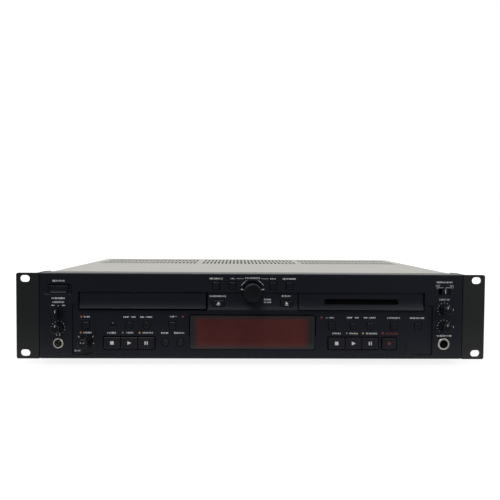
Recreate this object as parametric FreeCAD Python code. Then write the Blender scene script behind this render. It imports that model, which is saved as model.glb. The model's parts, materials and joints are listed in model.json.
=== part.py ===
import FreeCAD, Part
import math
import os

from FreeCAD import Vector

# Disc and minidisc rack deck. Sizes are in millimetres.
# X runs to the right, Y to the back and Z up. The origin is the centre of the footprint, under the feet.
# Each piece is drawn in panel coordinates: x from the middle, d back from the panel's front plane,
# and h up from the panel's lower edge. save() moves it into the frame.

# disc tray, which sets the width of the bays and so of the panel
tray_width = 128.0
tray_thick = 7.0
tray_low = 55.5
tray_length = 182.0
tray_rim = 4.0
disc_setback = 73.0
disc_radius = 60.6
small_disc_radius = 41.0
disc_seat_drop = 1.9
small_seat_drop = 1.2
tray_floor = 2.0
tray_slot_width = 42.0
door_thick = 2.8
door_margin = 1.2

# moulded front panel
panel_height = 88.0
panel_depth = 22.0
panel_wall = 2.5
panel_face = 4.5
panel_corner = 1.6
panel_edge_round = 1.0
centre_half = 47.6
column_margin = 39.6
column_inset = 19.2
field_depth = 1.6
field_margin_left = 6.4
field_margin_right = 8.6
field_low = 4.0
field_top = 48.7
shoulder_top = 56.0
platform_margin = 18.6
platform_top = 24.0
platform_low = 2.0
pocket_round = 11.0
bay_low = 50.8
bay_high = 69.0
bay_scoop = 2.0
bay_lip = 0.4
bay_curve_top = 61.0
tongue_reach = 8.0
tongue_thick = 2.4
boss_radius = 2.6

# case of sheet metal
case_depth = 290.0
cover_inset = 2.7
cover_sheet = 1.0
cover_drop = 0.7
cover_bend = 2.0
cover_lip = 14.0
base_sheet = 1.2
base_side_height = 30.0
base_lap = 12.0
rear_sheet = 1.2
rear_inset = 0.3
slot_width = 2.5
slot_length = 37.0
slot_pitch = 5.2
slots_per_group = 25
slot_group_pitch = 137.0
slot_first_row = 201.0
slot_row_pitch = 48.0
screw_radius = 1.5
screw_head = 3.4
screw_head_thick = 1.8

# rack ears
ear_width = 22.8
ear_sheet = 2.5
ear_reach_back = 78.0
ear_joggle = 5.0
ear_corner = 2.0
ear_trim = 7.0
rack_hole_inset = 8.75
rack_hole_rise = 76.2
rack_hole_length = 10.2
rack_hole_width = 7.0
ear_screw_row = 44.0

# feet
foot_lift = 7.0
foot_radius = 15.0
foot_flare = 1.5
foot_recess = 8.0
foot_inset = 41.0
front_foot_depth = 44.0
rear_foot_depth = 252.0

# fits
button_gap = 0.6
window_gap = 0.35
slide_gap = 0.3
door_gap = 0.8
key_gap = 1.0
turn_gap = 0.08
seat_gap = 0.1

# display
window_width = 129.2
window_height = 35.2
window_row = 27.0
window_round = 2.0
window_thick = 2.4
window_front = 1.2
ledge_thick = 2.4
glass_width = 116.0
glass_height = 29.0
glass_thick = 6.0

# front boards, switches and button stems
board_front = 15.0
board_thick = 1.6
board_top = 48.0
switch_size = 6.0
switch_reach = 3.5
pot_size = 11.0
pot_reach = 7.0
power_switch_half = 7.0
play_switch_half = 9.0
play_switch_rise = 4.0
press_travel = 1.0
press_rest = 0.2
stem_radius = 1.6
flange_thick = 1.0
flange_lap = 1.1

# rows and columns of controls; columns are counted outward from the window's edge
menu_row = 75.9
eject_row = 57.3
control_row = 34.2
lamp_row = 26.5
lower_row = 16.4
square_width = 6.9
square_height = 7.2
round_radius = 3.45
cap_proud = 0.8
cap_round = 0.7
square_round = 0.9
wide_width = 12.2
wide_height = 6.0
menu_column = 37.8
menu_step = 16.7
eject_column = 35.3
key_width = 16.9
key_pitch = 17.5
key_height = 11.7
key_proud = 1.4
key_lean = 0.9
key_row = 16.15
key_round = 0.5
cd_keys_offset = 62.2
md_keys_offset = 40.1
record_offset = 77.45
record_width = 14.5
lamp_radius = 1.0
lamp_proud = 0.5
sensor_radius = 2.8

# knobs
knob_radius = 4.8
knob_nose = 4.4
knob_reach = 11.0
knob_gap = 0.5
knob_round = 0.8
shaft_radius = 2.5
shaft_depth = 5.0
level_row = 31.9
input_left_row = 52.0
input_right_row = 34.0
selector_row = 47.0
selector_disc = 4.9
selector_disc_thick = 2.0
selector_bar = 3.2
selector_reach = 10.0
outer_inset = 7.2
pitch_row = 16.9
pitch_radius = 7.0
pitch_skirt = 2.0
pitch_cap = 5.0
pitch_reach = 12.0
dial_x = -0.4
dial_row = 69.7
dial_radius = 9.9
dial_nose = 8.8
dial_reach = 14.0
dial_dish = 0.6
dial_dish_radius = 7.4
dial_well = 11.2
dial_well_depth = 3.0

# power button and play switch
power_row = 71.3
power_width = 19.4
power_height = 8.0
power_bezel_width = 28.4
power_bezel_height = 11.6
power_bezel_depth = 1.5
power_bezel_bevel = 1.2
power_travel = 3.0
power_dish = 0.8
play_row = 70.4
play_window = 12.2
play_opening = 6.0
play_knob = 7.0
play_stop = 1.2

# sockets
jack_row = 15.8
phones_bore = 3.2
phones_ring = 5.2
phones_proud = 0.9
phones_body = 12.0
phones_length = 30.0
phones_depth = 26.0
keyboard_bore = 4.4
keyboard_ring = 6.1
keyboard_proud = 0.8
keyboard_length = 12.0
keyboard_hollow = 6.0
ring_bevel = 0.35
socket_reach = 5.0
phono_radius = 4.15
phono_bore = 1.7
phono_pitch = 14.0
phono_rows = 2
phono_columns = 4
phono_low = 26.0
phono_block = 11.0
optical_size = 9.6
phono_margin = 144.4
optical_margin = 78.4
inlet_margin = 46.4
inlet_row = 32.0
inlet_width = 23.0
inlet_height = 15.0
inlet_rim = 2.0
inlet_depth = 15.0
inlet_pin = 1.2
inlet_pin_span = 8.6

# drive of the disc tray
gear_module = 1.0
gear_teeth = 18
gear_setback = 24.0
gear_thick = 3.4
gear_drop = 0.7
gear_bore = 2.1
gear_boss = 4.5
rack_body = 4.0
rack_drop = 3.9
rack_edge = 8.0
backlash = 0.3
pressure_angle = 20.0
loader_wall = 2.4
loader_ledge = 2.4
loader_ledge_thick = 2.2
loader_floor = 38.0
loader_floor_thick = 2.4
loader_front = 20.0
loader_length = 186.0
leg_radius = 4.0
turntable_radius = 14.0
turntable_drop = 0.6
turntable_thick = 2.2
hub_radius = 7.3
hub_rise = 2.4
motor_radius = 12.0
motor_shaft = 1.5
motor_gap = 0.4
clamp_radius = 15.0
clamp_neck = 6.0
clamp_lift = 1.4
clamp_arm_width = 22.0
clamp_arm_thick = 1.6
rod_radius = 1.5
rod_span = 34.0
rod_row = 46.0
sled_width = 42.0
sled_length = 22.0
sled_low = 42.5
sled_high = 50.5
sled_travel = 34.0
lens_radius = 3.5
lens_top = 57.5

# minidisc slot and drive
md_slot_width = 77.6
md_slot_low = 56.4
md_slot_high = 62.0
flap_thick = 0.8
flap_pin = 0.8
flap_side_gap = 0.5
flap_setback = 1.0
flap_lug = 2.0
md_wall = 2.0
md_ledge = 2.4
md_plate = 1.6
md_plate_low = 44.0
md_front = 20.0
md_length = 112.0
md_high = 64.6
md_disc_setback = 52.0
md_turntable_radius = 5.2
md_turntable_thick = 1.6
md_motor_radius = 8.0
md_motor_height = 5.0
md_rod_span = 26.0
md_rod_rise = 4.2
md_sled_width = 32.0
md_sled_length = 16.0
md_sled_height = 7.0
md_sled_travel = 20.0
md_window_width = 44.0
md_window_length = 60.0

# boards inside the case
main_board_width = 130.0
main_board_length = 104.0
main_board_margin = 8.0
supply_width = 108.0
supply_length = 58.0
supply_margin = 6.0
boards_clear = 7.4
standoff = 6.0
standoff_radius = 3.2
transformer_width = 48.0
transformer_length = 40.0
transformer_height = 38.0
capacitor_radius = 8.0
capacitor_height = 26.0
chip_size = 20.0
chip_thick = 2.4

# derived places
door_width = tray_width + 2 * door_margin
bay_inner = centre_half
bay_outer = bay_inner + door_width + 2 * slide_gap
bay_centre = (bay_inner + bay_outer) / 2
field_left = -(bay_outer + field_margin_left)
field_right = bay_outer + field_margin_right
platform_half = bay_outer - platform_margin
panel_half = bay_outer + column_margin
panel_back = panel_face + slide_gap
column_x = panel_half - column_inset
outer_x = bay_outer - outer_inset
window_half = window_width / 2
case_half = panel_half - cover_inset
cover_top = panel_height - cover_drop
cover_under = cover_top - cover_sheet
inner_half = case_half - cover_sheet - seat_gap
base_low = panel_wall + seat_gap
base_floor = base_low + base_sheet
rear_face = case_depth - rear_inset
rear_inside = rear_face - rear_sheet
boards_back = rear_inside - seat_gap - phono_block - boards_clear
phono_x = inner_half - phono_margin
optical_x = inner_half - optical_margin
inlet_x = -inner_half + inlet_margin
ear_inner = panel_half + slide_gap
rack_half = ear_inner + ear_width
switch_front = board_front - switch_reach
stem_end = switch_front - press_travel - press_rest
pot_front = board_front - pot_reach
window_back = window_front + window_thick
ledge_back = window_back + ledge_thick
menu_columns = [-menu_column, -menu_column + menu_step, menu_column - menu_step, menu_column]
tray_front = bay_scoop + door_thick + seat_gap
tray_top = tray_low + tray_thick
disc_depth = tray_front + disc_setback
disc_seat = tray_top - disc_seat_drop
turntable_top = disc_seat - turntable_drop
turntable_low = turntable_top - turntable_thick
motor_top = turntable_low - motor_gap
gear_pitch = gear_module * gear_teeth / 2
gear_depth = loader_front + gear_setback
rack_line = -bay_centre - tray_width / 2 + rack_edge
gear_x = rack_line + gear_pitch
gear_high = tray_low - gear_drop
gear_low = gear_high - gear_thick
loader_top = loader_floor + loader_floor_thick
loader_back = loader_front + loader_length
sled_front = disc_depth + turntable_radius + 1.0
rail_top = tray_top + slide_gap
clamp_low = turntable_top + hub_rise + clamp_lift
arm_low = clamp_low + 2 * slide_gap + clamp_arm_thick
md_disc_depth = md_front + md_disc_setback
flap_axis_row = md_slot_high + flap_pin + seat_gap
flap_axis_depth = panel_face + flap_setback + flap_pin
md_floor = md_plate_low + md_plate
slot_half = md_slot_width / 2
front_y = dial_reach - (dial_reach + case_depth + socket_reach) / 2

# places of the controls, across and up
square_buttons = {
    "key_button": (-outer_x, control_row),
    "cd_select_button": (-window_half - 18.1, control_row),
    "md_select_button": (window_half + 17.6, control_row),
    "dubbing_button": (window_half + 82.4, control_row),
    "input_select_button": (outer_x + 0.9, control_row),
    "cd_menu_button": (menu_columns[0], menu_row),
    "menu_no_button": (menu_columns[1], menu_row),
    "menu_yes_button": (menu_columns[2], menu_row),
    "md_menu_button": (menu_columns[3], menu_row),
}
round_buttons = {
    "cd_back_button": (-window_half - 62.3, control_row),
    "cd_forward_button": (-window_half - 44.5, control_row),
    "time_button": (-window_half - 25.3, lower_row),
    "display_button": (-window_half - 9.7, lower_row),
    "md_back_button": (window_half + 40.1, control_row),
    "md_forward_button": (window_half + 57.6, control_row),
}
wide_buttons = {
    "open_close_button": (-eject_column, eject_row),
    "eject_button": (eject_column - 0.4, eject_row),
}
cd_keys_x = -window_half - cd_keys_offset
md_keys_x = window_half + md_keys_offset
keys = {
    "cd_stop_key": (cd_keys_x - key_pitch, key_width),
    "cd_play_key": (cd_keys_x, key_width),
    "cd_ready_key": (cd_keys_x + key_pitch, key_width),
    "md_stop_key": (md_keys_x - key_pitch, key_width),
    "md_play_key": (md_keys_x, key_width),
    "md_ready_key": (md_keys_x + key_pitch, key_width),
    "md_record_key": (window_half + record_offset, record_width),
}
lamps = [
    (-outer_x - 4.5, 42.9),
    (-outer_x - 5.2, lamp_row),
    (-window_half - 69.0, lamp_row),
    (-window_half - 51.7, lamp_row),
    (-window_half - 7.4, 43.2),
    (window_half + 6.8, 42.8),
    (window_half + 33.3, lamp_row),
    (window_half + 50.3, lamp_row),
    (window_half + 71.0, lamp_row),
]
sensor = (-window_half - 79.2, control_row)
level_knobs = {
    "phones_level_knob": (-column_x, level_row),
    "input_left_knob": (column_x, input_left_row),
    "input_right_knob": (column_x, input_right_row),
}
board_bosses = [(-outer_x + 13.0, 10.0), (-window_half - 4.0, 10.0), (window_half + 4.0, 10.0),
                (outer_x - 8.0, 10.0), (-outer_x + 13.0, 42.0), (outer_x - 12.0, 42.0)]
column_bosses = [(-panel_half + 9.0, 60.0), (panel_half - 9.0, 60.0)]
ear_screws = [(40.0, 20.0), (40.0, 68.0), (66.0, ear_screw_row)]
side_screws = [(150.0, 14.0), (262.0, 14.0)]
rear_screws = [-0.82, 0.0, 0.82]


def block(x0, x1, d0, d1, h0, h1):
    return Part.makeBox(x1 - x0, d1 - d0, h1 - h0, Vector(x0, d0, h0))


def along(shape, direction):
    """The straight edges that run along a direction."""
    return [e for e in shape.Edges if abs(e.tangentAt(e.FirstParameter).dot(direction)) > 0.999]


def plate(x, h, width, height, radius, d0, d1):
    """A rounded rectangle about (x, h), from depth d0 to d1."""
    body = block(x - width / 2, x + width / 2, d0, d1, h - height / 2, h + height / 2)
    return body.makeFillet(radius, along(body, Vector(0, 1, 0)))


def rod(x, h, radius, d0, d1):
    """A round bar along the depth."""
    return Part.makeCylinder(radius, d1 - d0, Vector(x, d0, h), Vector(0, 1, 0))


def taper(x, h, radius0, radius1, d0, d1):
    return Part.makeCone(radius0, radius1, d1 - d0, Vector(x, d0, h), Vector(0, 1, 0))


def cross_rod(d, h, radius, x0, x1):
    """A round bar from left to right."""
    return Part.makeCylinder(radius, x1 - x0, Vector(x0, d, h), Vector(1, 0, 0))


def post(x, d, radius, h0, h1):
    """A round bar that stands up."""
    return Part.makeCylinder(radius, h1 - h0, Vector(x, d, h0), Vector(0, 0, 1))


def side_prism(points, x0, x1):
    """A section drawn in depth and height, run from x0 to x1."""
    corners = [Vector(x0, d, h) for d, h in points]
    return Part.Face(Part.makePolygon(corners + corners[:1])).extrude(Vector(x1 - x0, 0, 0))


def plan_prism(points, h0, h1):
    """An outline drawn in x and depth, run from h0 to h1."""
    corners = [Vector(x, d, h0) for x, d in points]
    return Part.Face(Part.makePolygon(corners + corners[:1])).extrude(Vector(0, 0, h1 - h0))


def join(first, *others):
    return first.fuse(list(others)).removeSplitter()


def front_edges(shape, d, reach):
    """The edges that lie wholly at one depth."""
    return [e for e in shape.Edges if abs(e.BoundBox.YMin - d) < reach and abs(e.BoundBox.YMax - d) < reach]


def save(name, *solids):
    shape = Part.makeCompound(list(solids))
    shape.translate(Vector(0, front_y, foot_lift))
    shape.exportStep("parts/" + name + ".step")


def mirrored(shape):
    return shape.mirror(Vector(0, 0, 0), Vector(1, 0, 0))


# Front panel


def scoop(x0, x1):
    """What the bays lose in front: deep at the top, curving forward to a lip and a ridge below it."""
    top = Vector(x0, bay_scoop, bay_high)
    bend = Vector(x0, bay_scoop, bay_curve_top)
    lip = Vector(x0, bay_lip, bay_low)
    ridge = Vector(x0, bay_lip, field_top)
    drop = bay_curve_top - bay_low
    middle = Vector(x0, bay_scoop - (bay_scoop - bay_lip) * 0.26, bay_curve_top - drop * 0.52)
    ahead_low = Vector(x0, -1.0, field_top)
    ahead_top = Vector(x0, -1.0, bay_high)
    edges = [
        Part.LineSegment(ahead_top, top).toShape(),
        Part.LineSegment(top, bend).toShape(),
        Part.Arc(bend, middle, lip).toShape(),
        Part.LineSegment(lip, ridge).toShape(),
        Part.LineSegment(ridge, ahead_low).toShape(),
        Part.LineSegment(ahead_low, ahead_top).toShape(),
    ]
    return Part.Face(Part.Wire(edges)).extrude(Vector(x1 - x0, 0, 0))


def corner_pocket(x_side, x_inner):
    """The low end of the field beside the platform, with one large round corner."""
    left = min(x_side, x_inner)
    right = max(x_side, x_inner)
    body = block(left, right, -1.0, field_depth, field_low, platform_top + 1.0)
    low = [e for e in along(body, Vector(0, 1, 0)) if e.BoundBox.ZMax < field_low + 0.1]
    inner = [e for e in low if abs(e.BoundBox.XMin - x_inner) < 0.1]
    outer = [e for e in low if abs(e.BoundBox.XMin - x_side) < 0.1]
    return body.makeFillet(pocket_round, inner).makeFillet(panel_corner, outer)


def relief():
    wedge = [(-1.0, platform_low), (0.0, platform_low), (field_depth, platform_top), (-1.0, platform_top)]
    return [
        scoop(-bay_outer, bay_outer),
        block(field_left, field_right, -1.0, field_depth, platform_top, field_top),
        block(field_left, -bay_outer, -1.0, field_depth, field_top, shoulder_top),
        block(bay_outer, field_right, -1.0, field_depth, field_top, shoulder_top),
        corner_pocket(field_left, -platform_half),
        corner_pocket(field_right, platform_half),
        side_prism(wedge, -platform_half, platform_half),
    ]


def control_holes():
    through = panel_face + 1.0
    holes = []
    for x, h in square_buttons.values():
        width = square_width + 2 * button_gap
        holes.append(plate(x, h, width, square_height + 2 * button_gap, square_round, -1.0, through))
    for x, h in round_buttons.values():
        holes.append(rod(x, h, round_radius + button_gap, -1.0, through))
    for x, h in wide_buttons.values():
        width = wide_width + 2 * button_gap
        holes.append(plate(x, h, width, wide_height + 2 * button_gap, square_round, -1.0, through))
    for x in (cd_keys_x, md_keys_x):
        width = 2 * key_pitch + key_width + 2 * key_gap
        holes.append(plate(x, key_row, width, key_height + 2 * key_gap, square_round, -1.0, through))
    x, width = keys["md_record_key"]
    holes.append(plate(x, key_row, width + 2 * key_gap, key_height + 2 * key_gap, square_round, -1.0,
                       through))
    for x, h in lamps:
        holes.append(rod(x, h, lamp_radius + seat_gap, -1.0, through))
    holes.append(rod(sensor[0], sensor[1], sensor_radius + seat_gap, -1.0, through))
    for x, h in level_knobs.values():
        holes.append(rod(x, h, shaft_radius + slide_gap, -1.0, through))
    holes.append(rod(-column_x, selector_row, shaft_radius + slide_gap, -1.0, through))
    holes.append(rod(-outer_x, pitch_row, shaft_radius + slide_gap, -1.0, through))
    holes.append(plate(column_x, play_row, play_window, play_opening, 0.6, -1.0, through))
    holes.append(rod(-column_x, jack_row, phones_ring + seat_gap, -1.0, through))
    holes.append(rod(column_x, jack_row, keyboard_ring + seat_gap, -1.0, through))
    return holes


def power_recess():
    bezel = plate(-column_x, power_row, power_bezel_width, power_bezel_height, 2.0, -1.0, power_bezel_depth)
    bezel = bezel.makeChamfer(power_bezel_bevel, front_edges(bezel, power_bezel_depth, 0.01))
    width = power_width + 2 * button_gap
    hole = plate(-column_x, power_row, width, power_height + 2 * button_gap, 1.2, -1.0, panel_face + 1.0)
    return [bezel, hole]


def window_recess():
    width = window_width + 2 * window_gap
    height = window_height + 2 * window_gap
    seat = plate(0.0, window_row, width, height, window_round + window_gap, -1.0, window_back + seat_gap)
    view = plate(0.0, window_row, glass_width + 2.0, glass_height + 1.0, 1.0, window_back, ledge_back + 1.0)
    return [seat, view]


def dial_recess():
    well = rod(dial_x, dial_row, dial_well, -1.0, dial_well_depth)
    hole = rod(dial_x, dial_row, shaft_radius + slide_gap, -1.0, ledge_back + 1.0)
    return [well, hole]


def flap_lugs():
    """Two ears behind the slot that hold the flap's pins."""
    lugs = []
    reach = flap_axis_depth + flap_pin + 1.2
    for side in (-1, 1):
        x = bay_centre + side * (slot_half + flap_side_gap + flap_lug / 2)
        low = flap_axis_row - flap_pin - 1.4
        high = flap_axis_row + flap_pin + 1.2
        lug = block(x - flap_lug / 2, x + flap_lug / 2, panel_face - 1.0, reach, low, high)
        bore = cross_rod(flap_axis_depth, flap_axis_row, flap_pin + turn_gap, x - flap_lug, x + flap_lug)
        lugs.append(lug.cut(bore))
    return lugs


def front_panel():
    shell = block(-panel_half, panel_half, 0.0, panel_depth, 0.0, panel_height)
    shell = shell.makeFillet(panel_corner, along(shell, Vector(0, 1, 0)))
    shell = shell.makeFillet(panel_edge_round, front_edges(shell, 0.0, 0.01))
    shell = shell.cut(block(-panel_half + panel_wall, panel_half - panel_wall, panel_face, panel_depth + 1.0,
                            panel_wall, panel_height - panel_wall))
    tongue_top = cover_under - seat_gap
    tongue = block(-inner_half + 8.0, inner_half - 8.0, panel_depth - tongue_reach,
                   panel_depth + tongue_reach,
                   tongue_top - tongue_thick, tongue_top)
    ledge_width = window_width + 6.0
    ledge = plate(0.0, window_row, ledge_width, window_height + 5.0, 2.0, panel_face - 1.0, ledge_back)
    dial_pad = rod(dial_x, dial_row, dial_well + 1.6, panel_face - 1.0, ledge_back)
    bosses = [rod(x, h, boss_radius, panel_face - 1.0, board_front) for x, h in board_bosses + column_bosses]
    shell = join(shell, tongue, ledge, dial_pad, *bosses, *flap_lugs())
    bay_hole = block(-bay_outer, -bay_inner, -1.0, panel_face + 1.0, bay_low, bay_high)
    slot = block(bay_centre - slot_half, bay_centre + slot_half, -1.0, panel_face + 1.0, md_slot_low,
                 md_slot_high)
    cuts = relief() + control_holes() + power_recess() + window_recess() + dial_recess() + [bay_hole, slot]
    save("front_panel", shell.cut(cuts).removeSplitter())


def display_window():
    window = plate(0.0, window_row, window_width, window_height, window_round, window_front, window_back)
    save("display_window", window.makeChamfer(0.3, front_edges(window, window_front, 0.01)))


# Controls


def capped(cap, proud_depth):
    return cap.makeFillet(cap_round, front_edges(cap, proud_depth, 0.01))


def press_tail(x, h, flange):
    return join(flange, rod(x, h, stem_radius, panel_back, stem_end))


def square_button(x, h, width, height, surface):
    front = surface - cap_proud
    cap = capped(plate(x, h, width, height, square_round, front, panel_back + flange_thick), front)
    lap = 2 * (button_gap + flange_lap)
    flange = plate(x, h, width + lap, height + lap, 1.0, panel_back, panel_back + flange_thick)
    return join(cap, press_tail(x, h, flange))


def round_button(x, h, surface):
    front = surface - cap_proud
    cap = capped(rod(x, h, round_radius, front, panel_back + flange_thick), front)
    flange = rod(x, h, round_radius + button_gap + flange_lap, panel_back, panel_back + flange_thick)
    return join(cap, press_tail(x, h, flange))


def transport_key(x, width):
    """A wide key whose face leans like the platform it stands in."""
    low = key_row - key_height / 2
    high = key_row + key_height / 2
    share = (high - platform_low) / (platform_top - platform_low)
    back = field_depth * share - key_proud
    front = back - key_lean
    section = [(front, low), (back, high), (panel_back + flange_thick, high), (panel_back + flange_thick,
                                                                               low)]
    cap = side_prism(section, x - width / 2, x + width / 2)
    cap = cap.makeFillet(key_round, [e for e in cap.Edges if e.BoundBox.YMax < field_depth])
    lap = key_gap + flange_lap
    flange = block(x - width / 2, x + width / 2, panel_back, panel_back + flange_thick, low - lap,
                   high + lap)
    return join(cap, press_tail(x, key_row, flange))


def push_buttons():
    for name, (x, h) in square_buttons.items():
        surface = 0.0 if h == menu_row else field_depth
        save(name, square_button(x, h, square_width, square_height, surface))
    for name, (x, h) in round_buttons.items():
        save(name, round_button(x, h, field_depth))
    for name, (x, h) in wide_buttons.items():
        save(name, square_button(x, h, wide_width, wide_height, bay_lip + cap_proud))
    for name, (x, width) in keys.items():
        save(name, transport_key(x, width))


def power_button():
    """A wide cap with a shallow hollow across its face."""
    x = -column_x
    cap = capped(plate(x, power_row, power_width, power_height, 1.2, 0.0, panel_back + flange_thick), 0.0)
    hollow_radius = ((power_height / 2) ** 2 + power_dish ** 2) / (2 * power_dish)
    hollow = cross_rod(power_dish - hollow_radius, power_row, hollow_radius, x - power_width / 2 + 1.6,
                       x + power_width / 2 - 1.6)
    cap = cap.cut(hollow)
    lap = 2 * (button_gap + flange_lap)
    flange = plate(x, power_row, power_width + lap, power_height + lap, 1.0, panel_back,
                   panel_back + flange_thick)
    stem = rod(x, power_row, stem_radius, panel_back, pot_front + 1.5 - power_travel - press_rest)
    save("power_button", join(cap, flange, stem))


def knob_body(x, h, base, nose, reach, surface):
    """A turned knob with a soft front edge and a slot for its pointer line, on its shaft."""
    front = -reach
    cap = taper(x, h, nose, base, front, surface - knob_gap)
    cap = cap.makeFillet(knob_round, front_edges(cap, front, 0.01))
    pointer = block(x - 0.45, x + 0.45, front - 1.0, front + 0.4, h + nose * 0.3, h + nose + 1.0)
    shaft = rod(x, h, shaft_radius, surface - knob_gap - 1.0, pot_front + shaft_depth)
    return join(cap.cut(pointer), shaft)


def turned_knobs():
    for name, (x, h) in level_knobs.items():
        save(name, knob_body(x, h, knob_radius, knob_nose, knob_reach, 0.0))


def phones_selector():
    x = -column_x
    disc = rod(x, selector_row, selector_disc, -knob_gap - selector_disc_thick, -knob_gap)
    bar = plate(x, selector_row, selector_bar, 1.9 * selector_disc, 1.2, -selector_reach, -knob_gap)
    bar = bar.makeFillet(0.5, front_edges(bar, -selector_reach, 0.01))
    shaft = rod(x, selector_row, shaft_radius, -knob_gap - 1.0, pot_front + shaft_depth)
    save("phones_selector", join(disc, bar, shaft))


def pitch_control():
    """A stepped knob that turns on its own shaft, and a shaft that can be pushed."""
    x = -outer_x
    back = field_depth - knob_gap - press_travel
    skirt = taper(x, pitch_row, pitch_radius * 0.93, pitch_radius, back - pitch_skirt, back)
    cap = taper(x, pitch_row, pitch_cap, pitch_cap * 1.12, -pitch_reach, back - pitch_skirt)
    cap = cap.makeFillet(knob_round, front_edges(cap, -pitch_reach, 0.01))
    bore = rod(x, pitch_row, shaft_radius + turn_gap, -pitch_reach + 2.0, back + 1.0)
    save("pitch_knob", join(skirt, cap).cut(bore))
    save("pitch_shaft", rod(x, pitch_row, shaft_radius, -pitch_reach + 2.0 + seat_gap,
                            pot_front + shaft_depth))


def jog_control():
    """A large dial with a dished face, on a shaft that can be pushed."""
    back = dial_well_depth - knob_gap - press_travel
    dial = taper(dial_x, dial_row, dial_nose, dial_radius, -dial_reach, back)
    dial = dial.makeFillet(knob_round, front_edges(dial, -dial_reach, 0.01))
    sphere_radius = (dial_dish_radius ** 2 + dial_dish ** 2) / (2 * dial_dish)
    dish = Part.makeSphere(sphere_radius, Vector(dial_x, -dial_reach + dial_dish - sphere_radius, dial_row))
    bore = rod(dial_x, dial_row, shaft_radius + turn_gap, -dial_reach + 4.0, back + 1.0)
    save("jog_dial", dial.cut([dish, bore]))
    shaft = rod(dial_x, dial_row, shaft_radius, -dial_reach + 4.0 + seat_gap, pot_front + shaft_depth)
    save("jog_shaft", shaft)


def play_slider():
    """The knob of the slide switch, at the right end of its window."""
    x = column_x + play_window / 2 - play_stop - play_knob / 2
    knob = plate(x, play_row, play_knob, play_opening - 2 * slide_gap, 0.5, 0.4, panel_back + flange_thick)
    notch = block(x - 0.5, x + 0.5, 0.0, 0.7, play_row - play_opening, play_row + play_opening)
    flange = block(x - play_knob / 2 - play_stop, x + play_knob / 2 + play_stop, panel_back,
                   panel_back + flange_thick, play_row - play_opening / 2 - 1.0,
                   play_row + play_opening / 2 + 1.0)
    tail = rod(x, play_row, stem_radius, panel_back, pot_front - slide_gap)
    save("continuous_play_slider", join(knob.cut(notch), flange, tail))


# Front boards, lamps and sockets


def pot(x, h, size):
    """A control body on the board, bored for its shaft."""
    body = block(x - size / 2, x + size / 2, pot_front, board_front, h - size / 2, h + size / 2)
    return body.cut(rod(x, h, shaft_radius + turn_gap, pot_front - 1.0, pot_front + shaft_depth + 1.5))


def tact_switch(x, h):
    half = switch_size / 2
    body = block(x - half, x + half, switch_front + 1.2, board_front, h - half, h + half)
    return join(body, rod(x, h, 1.7, switch_front, board_front))


def front_board():
    back = board_front + board_thick
    wide = block(-bay_outer - 2.0, bay_outer + 2.0, board_front, back, base_floor + 1.0, board_top)
    tall = block(-centre_half + 1.0, centre_half - 1.0, board_front, back, board_top - 1.0, 83.0)
    main = join(wide, tall)
    side_low = jack_row + keyboard_ring + 3.0
    left = block(-panel_half + panel_wall + 1.0, -bay_outer - 4.0, board_front, back, side_low, 82.0)
    right = mirrored(left)
    places = list(square_buttons.values()) + list(round_buttons.values()) + list(wide_buttons.values())
    places += [(x, key_row) for x, width in keys.values()]
    main = join(main, *[tact_switch(x, h) for x, h in places], pot(-outer_x, pitch_row, pot_size),
                pot(dial_x, dial_row, pot_size))
    power_switch = block(-column_x - power_switch_half, -column_x + power_switch_half, pot_front + 1.5,
                         board_front,
                         power_row - 5.0, power_row + 5.0)
    left = join(left, pot(-column_x, level_row, pot_size), pot(-column_x, selector_row, pot_size),
                power_switch)
    slide_switch = block(column_x - play_switch_half, column_x + play_switch_half, pot_front, board_front,
                         play_row - play_switch_rise, play_row + play_switch_rise)
    right = join(right, pot(column_x, input_left_row, pot_size), pot(column_x, input_right_row, pot_size),
                 slide_switch)
    glass = block(-glass_width / 2, glass_width / 2, board_front - seat_gap - glass_thick,
                  board_front - seat_gap,
                  window_row - glass_height / 2, window_row + glass_height / 2)
    save("front_board", main, left, right, glass)


def indicator_lamps():
    """Light guides that reach from the panel's face to the board, with a bevelled end."""
    guides = []
    for x, h in lamps:
        guide = rod(x, h, lamp_radius, field_depth - lamp_proud, board_front - seat_gap)
        guides.append(guide.makeChamfer(lamp_proud * 0.6, front_edges(guide, field_depth - lamp_proud,
                                                                      0.01)))
    x, h = sensor
    lens = rod(x, h, sensor_radius, field_depth - lamp_proud, board_front - seat_gap)
    guides.append(lens.makeChamfer(lamp_proud * 0.6, front_edges(lens, field_depth - lamp_proud, 0.01)))
    save("indicator_lamps", *guides)


def phones_jack():
    x = -column_x
    half = phones_body / 2
    body = block(x - half, x + half, panel_back, panel_back + phones_length, jack_row - half,
                 jack_row + half)
    ring = rod(x, jack_row, phones_ring, -phones_proud, panel_back + 1.0)
    ring = ring.makeChamfer(ring_bevel, front_edges(ring, -phones_proud, 0.01))
    bore = rod(x, jack_row, phones_bore, -phones_proud - 1.0, phones_depth)
    save("phones_jack", join(body, ring).cut(bore))


def keyboard_socket():
    """A round socket with an insulator inside its metal ring."""
    half = keyboard_ring + 0.9
    body = block(column_x - half, column_x + half, panel_back, panel_back + keyboard_length, jack_row - half,
                 jack_row + half)
    ring = rod(column_x, jack_row, keyboard_ring, -keyboard_proud, panel_back + 1.0)
    ring = ring.makeChamfer(ring_bevel, front_edges(ring, -keyboard_proud, 0.01))
    hollow = rod(column_x, jack_row, keyboard_bore, -keyboard_proud - 1.0, keyboard_hollow)
    shell = join(body, ring).cut(hollow)
    core = rod(column_x, jack_row, keyboard_bore - 1.0, keyboard_hollow - 4.5, keyboard_hollow)
    save("keyboard_socket", join(shell, core))


# Case


def screw(tip, outward, grip):
    """A pan-head screw: tip is under the head, outward points away from the case."""
    head = Part.makeCylinder(screw_head, screw_head_thick, tip, outward)
    shank = Part.makeCylinder(screw_radius, grip, tip, outward * -1)
    return join(head, shank)


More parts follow.
